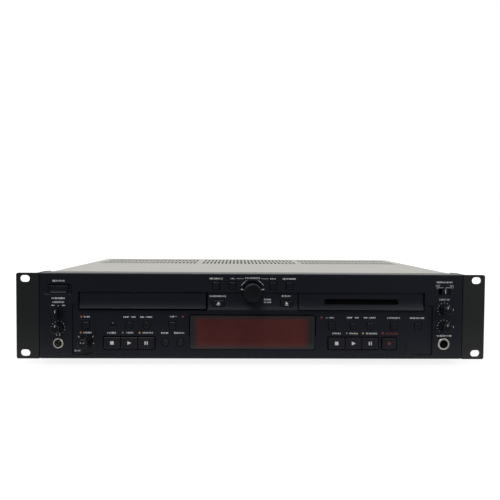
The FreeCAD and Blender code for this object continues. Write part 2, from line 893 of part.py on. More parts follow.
def case_screw_places():
    """Where each screw stands, which way it faces and how much sheet it grips."""
    places = []
    skin = cover_sheet + seat_gap + base_sheet
    for side in (-1, 1):
        outward = Vector(side, 0, 0)
        for d, h in ear_screws:
            places.append((Vector(side * (case_half + seat_gap + ear_sheet), d, h), outward,
                           ear_sheet + skin + 2.0))
        for d, h in side_screws:
            places.append((Vector(side * case_half, d, h), outward, skin + 2.0))
    for share in rear_screws:
        x = share * inner_half
        places.append((Vector(x, rear_face, panel_height - 10.0), Vector(0, 1, 0), rear_sheet + 4.0))
    return places


def screw_holes(reach):
    holes = []
    for tip, outward, grip in case_screw_places():
        start = tip + outward * 1.0
        holes.append(Part.makeCylinder(screw_radius + seat_gap, grip + reach, start, outward * -1))
    return holes


def case_screws():
    save("case_screws", *[screw(tip, outward, grip) for tip, outward, grip in case_screw_places()])


def vent_slots():
    slots = []
    for group in (-1, 0, 1):
        for index in range(slots_per_group):
            x = group * slot_group_pitch + (index - (slots_per_group - 1) / 2) * slot_pitch
            for row in (0, 1):
                d = slot_first_row + row * slot_row_pitch
                slots.append(block(x - slot_width / 2, x + slot_width / 2, d - slot_length / 2,
                                   d + slot_length / 2,
                                   cover_under - 1.0, cover_top + 1.0))
    return slots


def top_cover():
    """A bent sheet: the top with its vent slots, and two sides."""
    front = panel_depth + slide_gap
    outer = block(-case_half, case_half, front, case_depth, base_low, cover_top)
    high = [e for e in along(outer, Vector(0, 1, 0)) if e.BoundBox.ZMin > cover_top - 0.1]
    outer = outer.makeFillet(cover_bend, high)
    inner = block(-case_half + cover_sheet, case_half - cover_sheet, front - 1.0, case_depth + 1.0,
                  base_low - 1.0,
                  cover_under)
    high = [e for e in along(inner, Vector(0, 1, 0)) if e.BoundBox.ZMin > cover_under - 0.1]
    inner = inner.makeFillet(cover_bend - cover_sheet, high)
    lip = block(-inner_half + 4.0, inner_half - 4.0, rear_inside - seat_gap - cover_sheet,
                rear_inside - seat_gap,
                cover_under - cover_lip, cover_under + 0.2)
    sheet = join(outer.cut(inner), lip)
    save("top_cover", sheet.cut(vent_slots() + screw_holes(1.0)))


def base_chassis():
    """The floor and its turned-up sides. Ahead of the cover it laps over the panel's lower wall."""
    floor = block(-inner_half, inner_half, panel_depth - base_lap, rear_inside - seat_gap, base_low,
                  base_floor)
    front = panel_depth + slide_gap
    sides = []
    for side in (-1, 1):
        outer = side * inner_half
        inner = side * (inner_half - base_sheet)
        sides.append(block(min(outer, inner), max(outer, inner), front, rear_inside - seat_gap, base_low,
                           base_low + base_side_height))
    tray = join(floor, *sides)
    vents = []
    for index in range(12):
        x = -60.0 + index * 2 * slot_pitch
        vents.append(block(x - slot_width / 2, x + slot_width / 2, 120.0, 150.0, base_low - 1.0,
                           base_floor + 1.0))
    tabs = []
    for tip, outward, grip in case_screw_places():
        if outward.x and tip.z > base_low + base_side_height - 6.0:
            x0 = outward.x * inner_half
            x1 = outward.x * (inner_half - base_sheet)
            tabs.append(block(min(x0, x1), max(x0, x1), tip.y - 8.0, tip.y + 8.0,
                              base_low + base_side_height - 1.0,
                              tip.z + 7.0))
    tray = join(tray, *tabs)
    save("base_chassis", tray.cut(vents + screw_holes(1.0)))


def rack_ears():
    """A folded plate at each side: the slotted flange, and a leg that steps in to the cover's side."""
    step_out = ear_inner
    step_in = case_half + seat_gap
    bend = panel_depth + ear_sheet
    profile = [
        (rack_half, 0.0),
        (rack_half, ear_sheet),
        (step_out + ear_sheet, ear_sheet),
        (step_out + ear_sheet, bend),
        (step_in + ear_sheet, bend + ear_joggle),
        (step_in + ear_sheet, ear_reach_back),
        (step_in, ear_reach_back),
        (step_in, bend + ear_joggle - 1.4),
        (step_out, bend - 1.4),
        (step_out, 0.0),
    ]
    ear = plan_prism(profile, 0.0, panel_height)
    corners = [e for e in along(ear, Vector(0, 1, 0)) if e.BoundBox.XMin > rack_half - 0.1]
    ear = ear.makeFillet(ear_corner, corners)
    cuts = []
    hole_x = rack_half - rack_hole_inset
    for side in (-1, 1):
        h = panel_height / 2 + side * rack_hole_rise / 2
        cuts.append(plate(hole_x, h, rack_hole_length, rack_hole_width, rack_hole_width / 2 - 0.01, -1.0,
                          ear_sheet + 1.0))
    back = ear_reach_back + 1.0
    cuts.append(block(case_half, rack_half, bend + ear_joggle, back, -1.0, ear_trim))
    cuts.append(block(case_half, rack_half, bend + ear_joggle, back, panel_height - ear_trim,
                      panel_height + 1.0))
    right = ear.cut(cuts)
    left = mirrored(right)
    holes = screw_holes(1.0)
    save("rack_ears", left.cut(holes), right.cut(holes))


def feet():
    """Four round feet, a little wider at the top, each with a recessed sole."""
    pieces = []
    for x in (-case_half + foot_inset, case_half - foot_inset):
        for d in (front_foot_depth, rear_foot_depth):
            height = base_low + foot_lift
            foot = Part.makeCone(foot_radius - foot_flare, foot_radius, height, Vector(x, d, -foot_lift))
            sole = post(x, d, foot_recess, -foot_lift - 1.0, -foot_lift + 1.5)
            pieces.append(foot.cut(sole))
    save("feet", *pieces)


def phono_places():
    places = []
    for row in range(phono_rows):
        for column in range(phono_columns):
            places.append((phono_x + column * phono_pitch, phono_low + row * phono_pitch))
    return places


def rear_panel():
    sheet = block(-inner_half, inner_half, rear_inside, rear_face, base_low, cover_under - seat_gap)
    high = [e for e in along(sheet, Vector(0, 1, 0)) if e.BoundBox.ZMin > cover_under - 1.0]
    sheet = sheet.makeFillet(cover_bend, high)
    cuts = [rod(x, h, phono_radius + seat_gap, rear_inside - 1.0, rear_face + 1.0) for x,
            h in phono_places()]
    for row in range(phono_rows):
        cuts.append(plate(optical_x, phono_low + row * phono_pitch, optical_size + 0.2,
                          optical_size + 0.2, 0.6,
                          rear_inside - 1.0, rear_face + 1.0))
    cuts.append(plate(inlet_x, inlet_row, inlet_width + 0.2, inlet_height + 0.2, 3.0, rear_inside - 1.0,
                      rear_face + 1.0))
    save("rear_panel", sheet.cut(cuts + screw_holes(1.0)))


def rear_jacks():
    """Phono sockets on one block, and two square optical sockets beside them."""
    end = case_depth + socket_reach
    back = rear_inside - seat_gap
    low = phono_low - phono_pitch / 2
    high = phono_low + (phono_rows - 0.5) * phono_pitch
    block_x0 = phono_x - phono_pitch / 2
    block_x1 = phono_x + (phono_columns - 0.5) * phono_pitch
    body = block(block_x0, block_x1, back - phono_block, back, low, high)
    sleeves = [rod(x, h, phono_radius, back - 1.0, end) for x, h in phono_places()]
    bores = [rod(x, h, phono_bore, back - 6.0, end + 1.0) for x, h in phono_places()]
    phonos = join(body, *sleeves).cut(bores)
    stand = block(block_x0, block_x1, back - phono_block, back - 1.0, base_floor, low)
    optical = block(optical_x - 7.0, optical_x + 7.0, back - phono_block, back, base_floor, high)
    mouths = []
    for row in range(phono_rows):
        h = phono_low + row * phono_pitch
        nose = plate(optical_x, h, optical_size, optical_size, 0.6, back - 1.0, rear_face + 1.0)
        optical = join(optical, nose)
        mouths.append(plate(optical_x, h, optical_size - 3.0, optical_size - 3.0, 0.6, back - 4.0, end))
    save("rear_jacks", join(phonos, stand), optical.cut(mouths))


def mains_inlet():
    """A two-pin inlet: a moulded shell with a recess, and two pins that stand in it."""
    back = rear_face - inlet_depth
    shell = plate(inlet_x, inlet_row, inlet_width, inlet_height, 3.0, back, rear_face + 1.5)
    hollow = plate(inlet_x, inlet_row, inlet_width - 2 * inlet_rim, inlet_height - 2 * inlet_rim, 2.5,
                   back + 2.0, rear_face + 3.0)
    half = inlet_pin_span / 2
    pins = [rod(inlet_x + side * half, inlet_row, inlet_pin, back + 1.0, rear_face - 1.0) for side in (-1,
                                                                                                       1)]
    foot = block(inlet_x - 6.0, inlet_x + 6.0, back, back + 8.0, base_floor,
                 inlet_row - inlet_height / 2 + 1.0)
    save("mains_inlet", join(shell.cut(hollow), *pins, foot))


# Disc tray and its drive


def cd_tray():
    """The tray with its two disc seats, the slot over the drive, and a rack under one side."""
    x = -bay_centre
    half = tray_width / 2
    back = tray_front + tray_length
    body = block(x - half, x + half, tray_front, back, tray_low, tray_top)
    body = body.makeFillet(6.0, [e for e in along(body, Vector(0, 0, 1)) if e.BoundBox.YMin > back - 0.1])
    cuts = [
        post(x, disc_depth, disc_radius, disc_seat, tray_top + 1.0),
        post(x, disc_depth, small_disc_radius, disc_seat - small_seat_drop, tray_top + 1.0),
        post(x, disc_depth, tray_slot_width / 2, tray_low - 1.0, tray_top + 1.0),
        block(x - tray_slot_width / 2, x + tray_slot_width / 2, disc_depth, back + 1.0, tray_low - 1.0,
              tray_top + 1.0),
    ]
    under_top = disc_seat - small_seat_drop - tray_floor
    keep = tray_slot_width / 2 + tray_rim
    rack_clear = rack_edge + tray_rim
    cuts.append(block(x - half + rack_clear, x - keep, tray_front + tray_rim, back - tray_rim,
                      tray_low - 1.0, under_top))
    cuts.append(block(x + keep, x + half - tray_rim, tray_front + tray_rim, back - tray_rim, tray_low - 1.0,
                      under_top))
    rack = tray_rack(back)
    save("cd_tray", join(body.cut(cuts), rack))


def tray_rack(back):
    """Straight teeth whose flanks lean by the pressure angle."""
    lean = math.tan(math.radians(pressure_angle))
    pitch = math.pi * gear_module
    root = rack_line - 1.25 * gear_module
    tip = rack_line + gear_module
    first = gear_depth - 2 * pitch
    count = int((back - tray_rim - first) / pitch)
    half = pitch / 4 - backlash / 4
    outline = [(root - rack_body, first - pitch / 2), (root, first - pitch / 2)]
    for index in range(count):
        d = gear_depth + (index - 2 + 0.5) * pitch
        outline.append((root, d - half - 1.25 * gear_module * lean))
        outline.append((tip, d - half + gear_module * lean))
        outline.append((tip, d + half - gear_module * lean))
        outline.append((root, d + half + 1.25 * gear_module * lean))
    end = first + count * pitch
    outline += [(root, end), (root - rack_body, end)]
    return plan_prism(outline, tray_low - rack_drop, tray_low + 1.0)


def involute(base, radius):
    """The angle by which an involute has turned when it reaches a radius."""
    roll = math.sqrt(max(0.0, (radius / base) ** 2 - 1.0))
    return roll - math.atan(roll)


def cd_tray_gear():
    """A pinion with involute teeth, cut thin by the backlash."""
    base = gear_pitch * math.cos(math.radians(pressure_angle))
    tip = gear_pitch + gear_module
    root = gear_pitch - 1.25 * gear_module
    thickness = math.pi * gear_module / 2 - backlash / 2
    half_angle = thickness / (2 * gear_pitch) + involute(base, gear_pitch)
    outline = []
    step = 2 * math.pi / gear_teeth
    for index in range(gear_teeth):
        middle = math.pi + index * step
        flank = [root, max(base, root)] + [gear_pitch + share * gear_module for share in (0.0, 0.5, 1.0)]
        for radius in flank:
            turn = half_angle - involute(base, radius)
            outline.append((radius, middle - turn))
        for radius in reversed(flank):
            turn = half_angle - involute(base, radius)
            outline.append((radius, middle + turn))
    points = [(gear_x + r * math.cos(a), gear_depth + r * math.sin(a)) for r, a in outline]
    gear = plan_prism(points, gear_low, gear_high)
    save("cd_tray_gear", gear.cut(post(gear_x, gear_depth, gear_bore, gear_low - 1.0, gear_high + 1.0)))


def cd_loader_frame():
    """The drive's tub: floor, two walls with the tray's rails, the motor, two rods and the clamp's arm."""
    x = -bay_centre
    inner = tray_width / 2 + slide_gap
    outer = inner + loader_wall
    ledge_top = tray_low - seat_gap - 0.1
    floor = block(x - outer, x + outer, loader_front, loader_back, loader_floor, loader_top)
    walls = []
    for side in (-1, 1):
        x0 = x + side * outer
        x1 = x + side * inner
        x2 = x + side * (inner - loader_ledge)
        walls.append(block(min(x0, x1), max(x0, x1), loader_front, loader_back, loader_floor,
                           rail_top + 1.2))
        walls.append(block(min(x1, x2), max(x1, x2), loader_front, loader_back,
                           ledge_top - loader_ledge_thick,
                           ledge_top))
        walls.append(block(min(x1, x2), max(x1, x2), loader_front, loader_back, rail_top, rail_top + 1.2))
    arm_top = arm_low + clamp_arm_thick
    arm_front = disc_depth - clamp_arm_width / 2
    arm = block(x - outer, x + outer, arm_front, arm_front + clamp_arm_width, arm_low, arm_top)
    arm = arm.cut(post(x, disc_depth, clamp_neck + slide_gap, arm_low - 1.0, arm_top + 1.0))
    cheeks = []
    for side in (-1, 1):
        x0 = x + side * outer
        x1 = x + side * inner
        cheeks.append(block(min(x0, x1), max(x0, x1), arm_front, arm_front + clamp_arm_width, rail_top,
                            arm_top))
    motor = post(x, disc_depth, motor_radius, loader_top, motor_top)
    bore = post(x, disc_depth, motor_shaft + turn_gap, motor_top - 8.0, motor_top + 1.0)
    gear_post = join(post(gear_x, gear_depth, gear_boss, loader_top, gear_low - seat_gap),
                     post(gear_x, gear_depth, gear_bore - turn_gap, loader_top, gear_high))
    rod_front = sled_front + 0.5
    rod_back = sled_front + sled_length + sled_travel + 6.0
    rods = []
    for side in (-1, 1):
        rod_x = x + side * rod_span / 2
        rods.append(rod(rod_x, rod_row, rod_radius, disc_depth, rod_back))
        rods.append(block(rod_x - 3.0, rod_x + 3.0, disc_depth - 3.0, disc_depth + 3.0, loader_top,
                          rod_row + 3.0))
        rods.append(block(rod_x - 3.0, rod_x + 3.0, rod_back - 2.0, rod_back + 3.0, loader_top,
                          rod_row + 3.0))
    legs = []
    for side in (-1, 1):
        for d in (loader_front + 14.0, loader_back - 14.0):
            legs.append(post(x + side * (outer - 8.0), d, leg_radius, base_floor, loader_floor + 0.5))
    frame = join(floor, *walls, arm, *cheeks, motor, gear_post, *rods, *legs).cut(bore)
    clamp = join(
        post(x, disc_depth, clamp_radius, clamp_low, arm_low - slide_gap),
        post(x, disc_depth, clamp_neck, clamp_low, arm_top + seat_gap + 1.0),
        post(x, disc_depth, clamp_neck + 3.0, arm_top + seat_gap, arm_top + seat_gap + 1.2),
    )
    save("cd_loader_frame", frame, clamp)


def cd_spindle():
    x = -bay_centre
    table = post(x, disc_depth, turntable_radius, turntable_low, turntable_top)
    hub = Part.makeCone(hub_radius, hub_radius - 1.2, hub_rise, Vector(x, disc_depth, turntable_top))
    shaft = post(x, disc_depth, motor_shaft, motor_top - 7.0, turntable_top)
    save("cd_spindle", join(table, hub, shaft))


def cd_pickup():
    """The laser sled, at the inner end of its rods."""
    x = -bay_centre
    half = sled_width / 2
    sled = block(x - half, x + half, sled_front, sled_front + sled_length, sled_low, sled_high)
    sled = sled.makeFillet(2.0, along(sled, Vector(0, 0, 1)))
    middle = sled_front + sled_length / 2
    tower = block(x - 9.0, x + 9.0, sled_front + 4.0, sled_front + sled_length - 4.0, sled_high - 1.0,
                  lens_top - 2.0)
    lens = post(x, middle, lens_radius, sled_high, lens_top)
    bores = []
    for side in (-1, 1):
        bores.append(rod(x + side * rod_span / 2, rod_row, rod_radius + turn_gap, sled_front - 1.0,
                         sled_front + sled_length + 1.0))
    save("cd_pickup", join(sled, tower, lens).cut(bores))


def cd_tray_door():
    """The tray's front, curved like the bays beside it."""
    x0 = -bay_outer + door_gap
    x1 = -bay_inner - door_gap
    door = block(x0, x1, -0.5, bay_scoop + door_thick, bay_low + door_gap, bay_high - door_gap)
    door = door.cut(scoop(x0 - 1.0, x1 + 1.0))
    save("cd_tray_door", door)


# Minidisc slot and drive


def md_slot_flap():
    """A thin door that hangs behind the slot on two pins."""
    x0 = bay_centre - slot_half + flap_side_gap
    x1 = bay_centre + slot_half - flap_side_gap
    front = flap_axis_depth - flap_thick / 2
    leaf = block(x0, x1, front, front + flap_thick, md_slot_low + seat_gap, flap_axis_row)
    reach = flap_side_gap * 2 + flap_lug * 0.8
    pin = cross_rod(flap_axis_depth, flap_axis_row, flap_pin, x0 - reach, x1 + reach)
    save("md_slot_flap", join(leaf, pin))


def md_loader_frame():
    """The cartridge's cage: two walls with ledges, an open top plate, and the motor and rods below."""
    x = bay_centre
    inner = slot_half - 0.4
    outer = inner + md_wall
    back = md_front + md_length
    ledge_top = md_slot_low - 0.2
    floor = block(x - outer, x + outer, md_front, back, md_plate_low, md_floor)
    walls = []
    for side in (-1, 1):
        x0 = x + side * outer
        x1 = x + side * inner
        x2 = x + side * (inner - md_ledge)
        walls.append(block(min(x0, x1), max(x0, x1), md_front, back, md_plate_low, md_high))
        walls.append(block(min(x1, x2), max(x1, x2), md_front, back, ledge_top - 1.4, ledge_top))
    middle = md_disc_depth
    roof = block(x - outer, x + outer, md_front + 8.0, back, md_high - md_plate, md_high)
    window = block(x - md_window_width / 2, x + md_window_width / 2, middle - md_window_length / 2,
                   middle + md_window_length / 2, md_high - md_plate - 1.0, md_high + 1.0)
    end_wall = block(x - outer, x + outer, back - md_wall, back, md_plate_low, md_high)
    motor = post(x, middle, md_motor_radius, md_floor, md_floor + md_motor_height)
    bore = post(x, middle, motor_shaft + turn_gap, md_floor, md_floor + md_motor_height + 1.0)
    rod_row_md = md_floor + md_rod_rise
    rod_back = middle + md_motor_radius + 1.0 + md_sled_length + md_sled_travel + 5.0
    rods = []
    for side in (-1, 1):
        rod_x = x + side * md_rod_span / 2
        rods.append(rod(rod_x, rod_row_md, rod_radius, middle, rod_back))
        rods.append(block(rod_x - 2.5, rod_x + 2.5, middle - 2.0, middle + 2.0, md_floor, rod_row_md + 2.5))
        rods.append(block(rod_x - 2.5, rod_x + 2.5, rod_back - 1.0, rod_back + 3.0, md_floor,
                          rod_row_md + 2.5))
    legs = []
    for side in (-1, 1):
        for d in (md_front + 12.0, back - 12.0):
            legs.append(post(x + side * (outer - 8.0), d, leg_radius, base_floor, md_plate_low + 0.5))
    body = join(floor, *walls, roof.cut(window), end_wall, motor, *rods, *legs).cut(bore)
    save("md_loader_frame", body)


def md_spindle():
    x = bay_centre
    top = md_slot_low - 0.4
    table = post(x, md_disc_depth, md_turntable_radius, top - md_turntable_thick, top)
    nose = Part.makeCone(2.0, 1.4, 0.8, Vector(x, md_disc_depth, top))
    shaft = post(x, md_disc_depth, motor_shaft, md_floor + 1.0, top)
    collar = post(x, md_disc_depth, 3.0, md_floor + md_motor_height + motor_gap, top)
    save("md_spindle", join(table, nose, shaft, collar))


def md_pickup():
    x = bay_centre
    half = md_sled_width / 2
    front = md_disc_depth + md_motor_radius + 1.0
    low = md_floor + 0.8
    sled = block(x - half, x + half, front, front + md_sled_length, low, low + md_sled_height)
    sled = sled.makeFillet(1.6, along(sled, Vector(0, 0, 1)))
    lens = post(x, front + md_sled_length / 2, lens_radius, low, md_slot_low - 0.6)
    bores = []
    for side in (-1, 1):
        bores.append(rod(x + side * md_rod_span / 2, md_floor + md_rod_rise, rod_radius + turn_gap,
                         front - 1.0,
                         front + md_sled_length + 1.0))
    save("md_pickup", join(sled, lens).cut(bores))


# Boards inside the case


def stood_board(x0, x1, d0, d1):
    """A board on four stand-offs."""
    low = base_floor + standoff
    board = block(x0, x1, d0, d1, low, low + board_thick)
    feet_at = [(x, d) for x in (x0 + 6.0, x1 - 6.0) for d in (d0 + 6.0, d1 - 6.0)]
    return join(board, *[post(x, d, standoff_radius, base_floor, low + 0.5) for x, d in feet_at])


def main_board():
    x1 = inner_half - base_sheet - main_board_margin
    x0 = x1 - main_board_width
    d0 = boards_back - main_board_length
    board = stood_board(x0, x1, d0, d0 + main_board_length)
    top = base_floor + standoff + board_thick
    chips = []
    for column in range(4):
        for row in range(2):
            x = x0 + 34.0 + column * (main_board_width - 60.0) / 3
            d = d0 + 28.0 + row * (main_board_length - 56.0)
            chips.append(block(x - chip_size / 2, x + chip_size / 2, d - chip_size / 2, d + chip_size / 2,
                               top - 0.2,
                               top + chip_thick))
    save("main_board", join(board, *chips))


def power_supply():
    x0 = -centre_half + supply_margin
    x1 = x0 + supply_width
    d0 = boards_back - supply_length
    board = stood_board(x0, x1, d0, boards_back)
    top = base_floor + standoff + board_thick
    core_x = x1 - transformer_width - 4.0
    core = block(core_x, core_x + transformer_width, d0 + 8.0, d0 + 8.0 + transformer_length, top - 0.2,
                 top + transformer_height)
    coil = block(core_x + 8.0, core_x + transformer_width - 8.0, d0 + 4.0, d0 + 12.0 + transformer_length,
                 top - 0.2, top + transformer_height - 8.0)
    cans = []
    for index in range(2):
        x = x0 + 16.0 + index * (2 * capacitor_radius + 3.0)
        cans.append(post(x, d0 + 16.0, capacitor_radius, top - 0.2, top + capacitor_height))
    save("power_supply", join(board, core, coil, *cans))


os.makedirs("parts", exist_ok=True)
front_panel()
display_window()
push_buttons()
power_button()
turned_knobs()
phones_selector()
pitch_control()
jog_control()
play_slider()
front_board()
indicator_lamps()
phones_jack()
keyboard_socket()
case_screws()
top_cover()
base_chassis()
rack_ears()
feet()
rear_panel()
rear_jacks()
mains_inlet()
cd_tray()
cd_tray_door()
cd_tray_gear()
cd_loader_frame()
cd_spindle()
cd_pickup()
md_slot_flap()
md_loader_frame()
md_spindle()
md_pickup()
main_board()
power_supply()
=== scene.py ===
import json
import math

import bmesh
import bpy
from mathutils import Matrix, Vector


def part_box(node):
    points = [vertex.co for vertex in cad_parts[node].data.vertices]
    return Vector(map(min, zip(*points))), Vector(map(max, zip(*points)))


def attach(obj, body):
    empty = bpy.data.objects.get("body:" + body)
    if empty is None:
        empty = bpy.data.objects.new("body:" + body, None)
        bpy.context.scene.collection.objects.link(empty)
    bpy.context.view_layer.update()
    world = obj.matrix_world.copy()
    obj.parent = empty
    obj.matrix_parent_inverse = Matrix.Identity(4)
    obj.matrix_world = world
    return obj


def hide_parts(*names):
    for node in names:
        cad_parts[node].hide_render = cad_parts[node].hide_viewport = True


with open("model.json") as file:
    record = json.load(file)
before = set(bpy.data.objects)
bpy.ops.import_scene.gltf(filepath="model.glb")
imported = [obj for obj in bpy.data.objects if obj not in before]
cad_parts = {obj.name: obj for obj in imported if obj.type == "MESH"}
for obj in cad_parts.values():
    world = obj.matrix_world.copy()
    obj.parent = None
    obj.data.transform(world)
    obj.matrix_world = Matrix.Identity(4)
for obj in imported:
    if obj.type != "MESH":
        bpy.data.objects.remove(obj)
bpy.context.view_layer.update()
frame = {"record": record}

bodyOf = {node: body for body, nodes in frame["record"]["behaviour"]["bodies"].items() for node in nodes}
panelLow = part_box("front_panel")[0]
frontY = panelLow[1]  # the panel's front plane
footZ = panelLow[2]  # the panel's lower edge

# Camera

cameraView = {
    "place": (-0.0167, frontY - 0.566, footZ + 0.1332),
    "yaw": -1.362,
    "pitch": 2.089,
    "roll": 0.403,
    "lens": 39.75,
}


def makeCamera():
    data = bpy.data.cameras.new("camera")
    data.lens = cameraView["lens"]
    data.sensor_width = 36.0
    data.clip_start = 0.01
    camera = bpy.data.objects.new("camera", data)
    bpy.context.scene.collection.objects.link(camera)
    turn = Matrix.Rotation(math.radians(cameraView["yaw"]), 4, "Z")
    tilt = Matrix.Rotation(math.radians(90.0 - cameraView["pitch"]), 4, "X")
    roll = Matrix.Rotation(math.radians(cameraView["roll"]), 4, "Z")
    camera.matrix_world = Matrix.Translation(cameraView["place"]) @ turn @ tilt @ roll
    bpy.context.scene.camera = camera


makeCamera()
print("camera set")

# Node helpers


def linear(hexColour):
    channels = [int(hexColour[i:i + 2], 16) / 255 for i in (1, 3, 5)]
    return tuple(c / 12.92 if c <= 0.04045 else ((c + 0.055) / 1.055) ** 2.4 for c in channels) + (1.0,)


def dimmed(hexColour, share):
    return tuple(c * share for c in linear(hexColour)[:3]) + (1.0,)


def addNode(tree, kind, links=None, **settings):
    # links maps an input's name or number to a value or to another node's output
    node = tree.nodes.new(kind)
    for name, value in settings.items():
        setattr(node, name, value)
    for name, value in (links or {}).items():
        if isinstance(value, bpy.types.NodeSocket):
            tree.links.new(value, node.inputs[name])
        else:
            node.inputs[name].default_value = value
    return node


def newMaterial(name):
    material = bpy.data.materials.new(name)
    material.use_nodes = True
    material.node_tree.nodes.clear()
    return material, material.node_tree


def grain(tree, millimetres, detail=2.0):
    # noise whose lumps have the given size
    coords = addNode(tree, "ShaderNodeTexCoord")
    return addNode(tree, "ShaderNodeTexNoise", {"Vector": coords.outputs["Object"], "Scale": 1000.0 / millimetres,
                                                "Detail": detail, "Roughness": 0.6})


def spread(tree, socket, low, high):
    # maps noise onto a narrow band of values
    node = addNode(tree, "ShaderNodeMapRange", {"Value": socket, "From Min": 0.3, "From Max": 0.7,
                                                "To Min": low, "To Max": high})
    return node.outputs["Result"]


def mixColours(tree, factor, first, second):
    node = addNode(tree, "ShaderNodeMix", {"Factor": factor}, data_type="RGBA")
    for number, value in ((6, first), (7, second)):
        if isinstance(value, bpy.types.NodeSocket):
            tree.links.new(value, node.inputs[number])
        else:
            node.inputs[number].default_value = value
    return node.outputs[2]


def twoTone(tree, noise, dark, light):
    # shares two shades out over the noise
    return mixColours(tree, spread(tree, noise.outputs["Fac"], 0.0, 1.0), linear(dark), linear(light))


def relief(tree, noise, strength, distance):
    bump = addNode(tree, "ShaderNodeBump", {"Height": noise.outputs["Fac"], "Strength": strength,
                                            "Distance": distance})
    return bump.outputs["Normal"]


def closeSurface(tree, shader):
    addNode(tree, "ShaderNodeOutputMaterial", {"Surface": shader.outputs[0]})


def closePrincipled(tree, links):
    closeSurface(tree, addNode(tree, "ShaderNodeBsdfPrincipled", links))


# Materials


def mouldedPanelPlastic():
    # injection-moulded ABS with a spark-eroded satin face: blue-black, an even soft sheen
    material, tree = newMaterial("mouldedPanelPlastic")
    texture = grain(tree, 0.35)
    clouds = grain(tree, 45.0)
    colour = twoTone(tree, clouds, "#0d101a", "#10131e")
    bump = relief(tree, texture, 0.12, 0.00006)
    closePrincipled(tree, {
        "Base Color": colour, "Roughness": spread(tree, texture.outputs["Fac"], 0.34, 0.44), "IOR": 1.5,
        "Specular IOR Level": 0.42, "Normal": bump})
    return material


def texturedBlackPaint():
    # powder coat on folded steel: neutral black with a fine orange peel
    material, tree = newMaterial("texturedBlackPaint")
    peel = grain(tree, 0.7)
    clouds = grain(tree, 30.0)
    colour = twoTone(tree, clouds, "#0f1110", "#141615")
    bump = relief(tree, peel, 0.3, 0.0001)
    closePrincipled(tree, {
        "Base Color": colour, "Roughness": spread(tree, peel.outputs["Fac"], 0.42, 0.55), "IOR": 1.5,
        "Normal": bump})
    return material


def coverPaintAndPaintedReflection():
    # satin stoving enamel on sheet steel: the pale warm grey base colour is partly the paint and partly painted
    # reflection of the bright studio that the cover mirrors at a low angle
    material, tree = newMaterial("coverPaintAndPaintedReflection")
    peel = grain(tree, 1.2)
    clouds = grain(tree, 80.0)
    colour = twoTone(tree, clouds, "#a3a195", "#aaa89c")
    bump = relief(tree, peel, 0.15, 0.00006)
    closePrincipled(tree, {
        "Base Color": colour, "Roughness": spread(tree, peel.outputs["Fac"], 0.3, 0.38), "IOR": 1.5,
        "Normal": bump})
    return material


def zincPlatedSteel():
    # rolled sheet with bright zinc: fine streaks along the roll and faint spangle
    material, tree = newMaterial("zincPlatedSteel")
    coords = addNode(tree, "ShaderNodeTexCoord")
    stretch = addNode(tree, "ShaderNodeMapping", {"Vector": coords.outputs["Object"], "Scale": (1.0, 0.04, 1.0)})
    streaks = addNode(tree, "ShaderNodeTexNoise", {"Vector": stretch.outputs["Vector"], "Scale": 1000.0 / 0.6,
                                                   "Detail": 3.0})
    colour = twoTone(tree, streaks, "#a9aaa6", "#c2c2bd")
    closePrincipled(tree, {
        "Base Color": colour, "Metallic": 1.0, "Roughness": spread(tree, streaks.outputs["Fac"], 0.28, 0.42)})
    return material


def nickelPlate():
    # nickel on turned brass: a warm mirror with faint lathe marks
    material, tree = newMaterial("nickelPlate")
    marks = grain(tree, 0.5)
    colour = twoTone(tree, marks, "#e6e3da", "#f4f2ea")
    closePrincipled(tree, {
        "Base Color": colour, "Metallic": 1.0, "Roughness": spread(tree, marks.outputs["Fac"], 0.3, 0.4)})
    return material


def capPlastic(name, dark, light, rough, shine=0.5):
    # moulded button caps: a shade lighter and glossier than the panel round them
    material, tree = newMaterial(name)
    texture = grain(tree, 0.4)
    clouds = grain(tree, 12.0)
    colour = twoTone(tree, clouds, dark, light)
    bump = relief(tree, texture, 0.1, 0.00005)
    closePrincipled(tree, {
        "Base Color": colour, "Roughness": spread(tree, texture.outputs["Fac"], rough, rough + 0.1), "IOR": 1.5,
        "Specular IOR Level": shine, "Normal": bump})
    return material


# the red filter behind the window: its half size along each axis, and how far its edge fades
redFilter = (("X", 0.0575, 0.004), ("Z", 0.0150, 0.0035))
filterShift = 0.001  # it lies this much to the left


def smokedWindow():
    # cast acrylic over a dark red filter: the filter's edge fades into the smoke tint
    material, tree = newMaterial("smokedWindow")
    low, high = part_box("display_window")
    middle = [(a + b) / 2 for a, b in zip(low, high)]
    coords = addNode(tree, "ShaderNodeTexCoord")
    place = addNode(tree, "ShaderNodeMapping", {"Vector": coords.outputs["Object"],
                                                "Location": (-middle[0] + filterShift, -middle[1], -middle[2])})
    parts = addNode(tree, "ShaderNodeSeparateXYZ", {"Vector": place.outputs["Vector"]})
    sides = []
    for axis, reach, fade in redFilter:
        size = addNode(tree, "ShaderNodeMath", {0: parts.outputs[axis]}, operation="ABSOLUTE")
        sides.append(addNode(tree, "ShaderNodeMapRange", {"Value": size.outputs[0], "From Min": reach - fade,
                                                          "From Max": reach + fade, "To Min": 1.0, "To Max": 0.0},
                             interpolation_type="SMOOTHSTEP").outputs["Result"])
    inside = addNode(tree, "ShaderNodeMath", {0: sides[0], 1: sides[1]}, operation="MULTIPLY")
    clouds = grain(tree, 25.0)
    red = twoTone(tree, clouds, "#4c2221", "#542826")
    colour = mixColours(tree, inside.outputs[0], linear("#2a2b2c"), red)
    closePrincipled(tree, {"Base Color": colour, "Roughness": 0.07, "IOR": 1.49})
    return material


def lampLens(name, hexColour):
    # diffusing polycarbonate light guide, unlit; a faint emission in its own colour paints a glow into it
    material, tree = newMaterial(name)
    swirl = grain(tree, 1.5)
    colour = mixColours(tree, spread(tree, swirl.outputs["Fac"], 0.0, 1.0), dimmed(hexColour, 0.8),
                        linear(hexColour))
    closePrincipled(tree, {
        "Base Color": colour, "Roughness": 0.2, "IOR": 1.58, "Subsurface Weight": 0.2,
        "Subsurface Scale": 0.001, "Emission Color": linear(hexColour), "Emission Strength": 0.12})
    return material


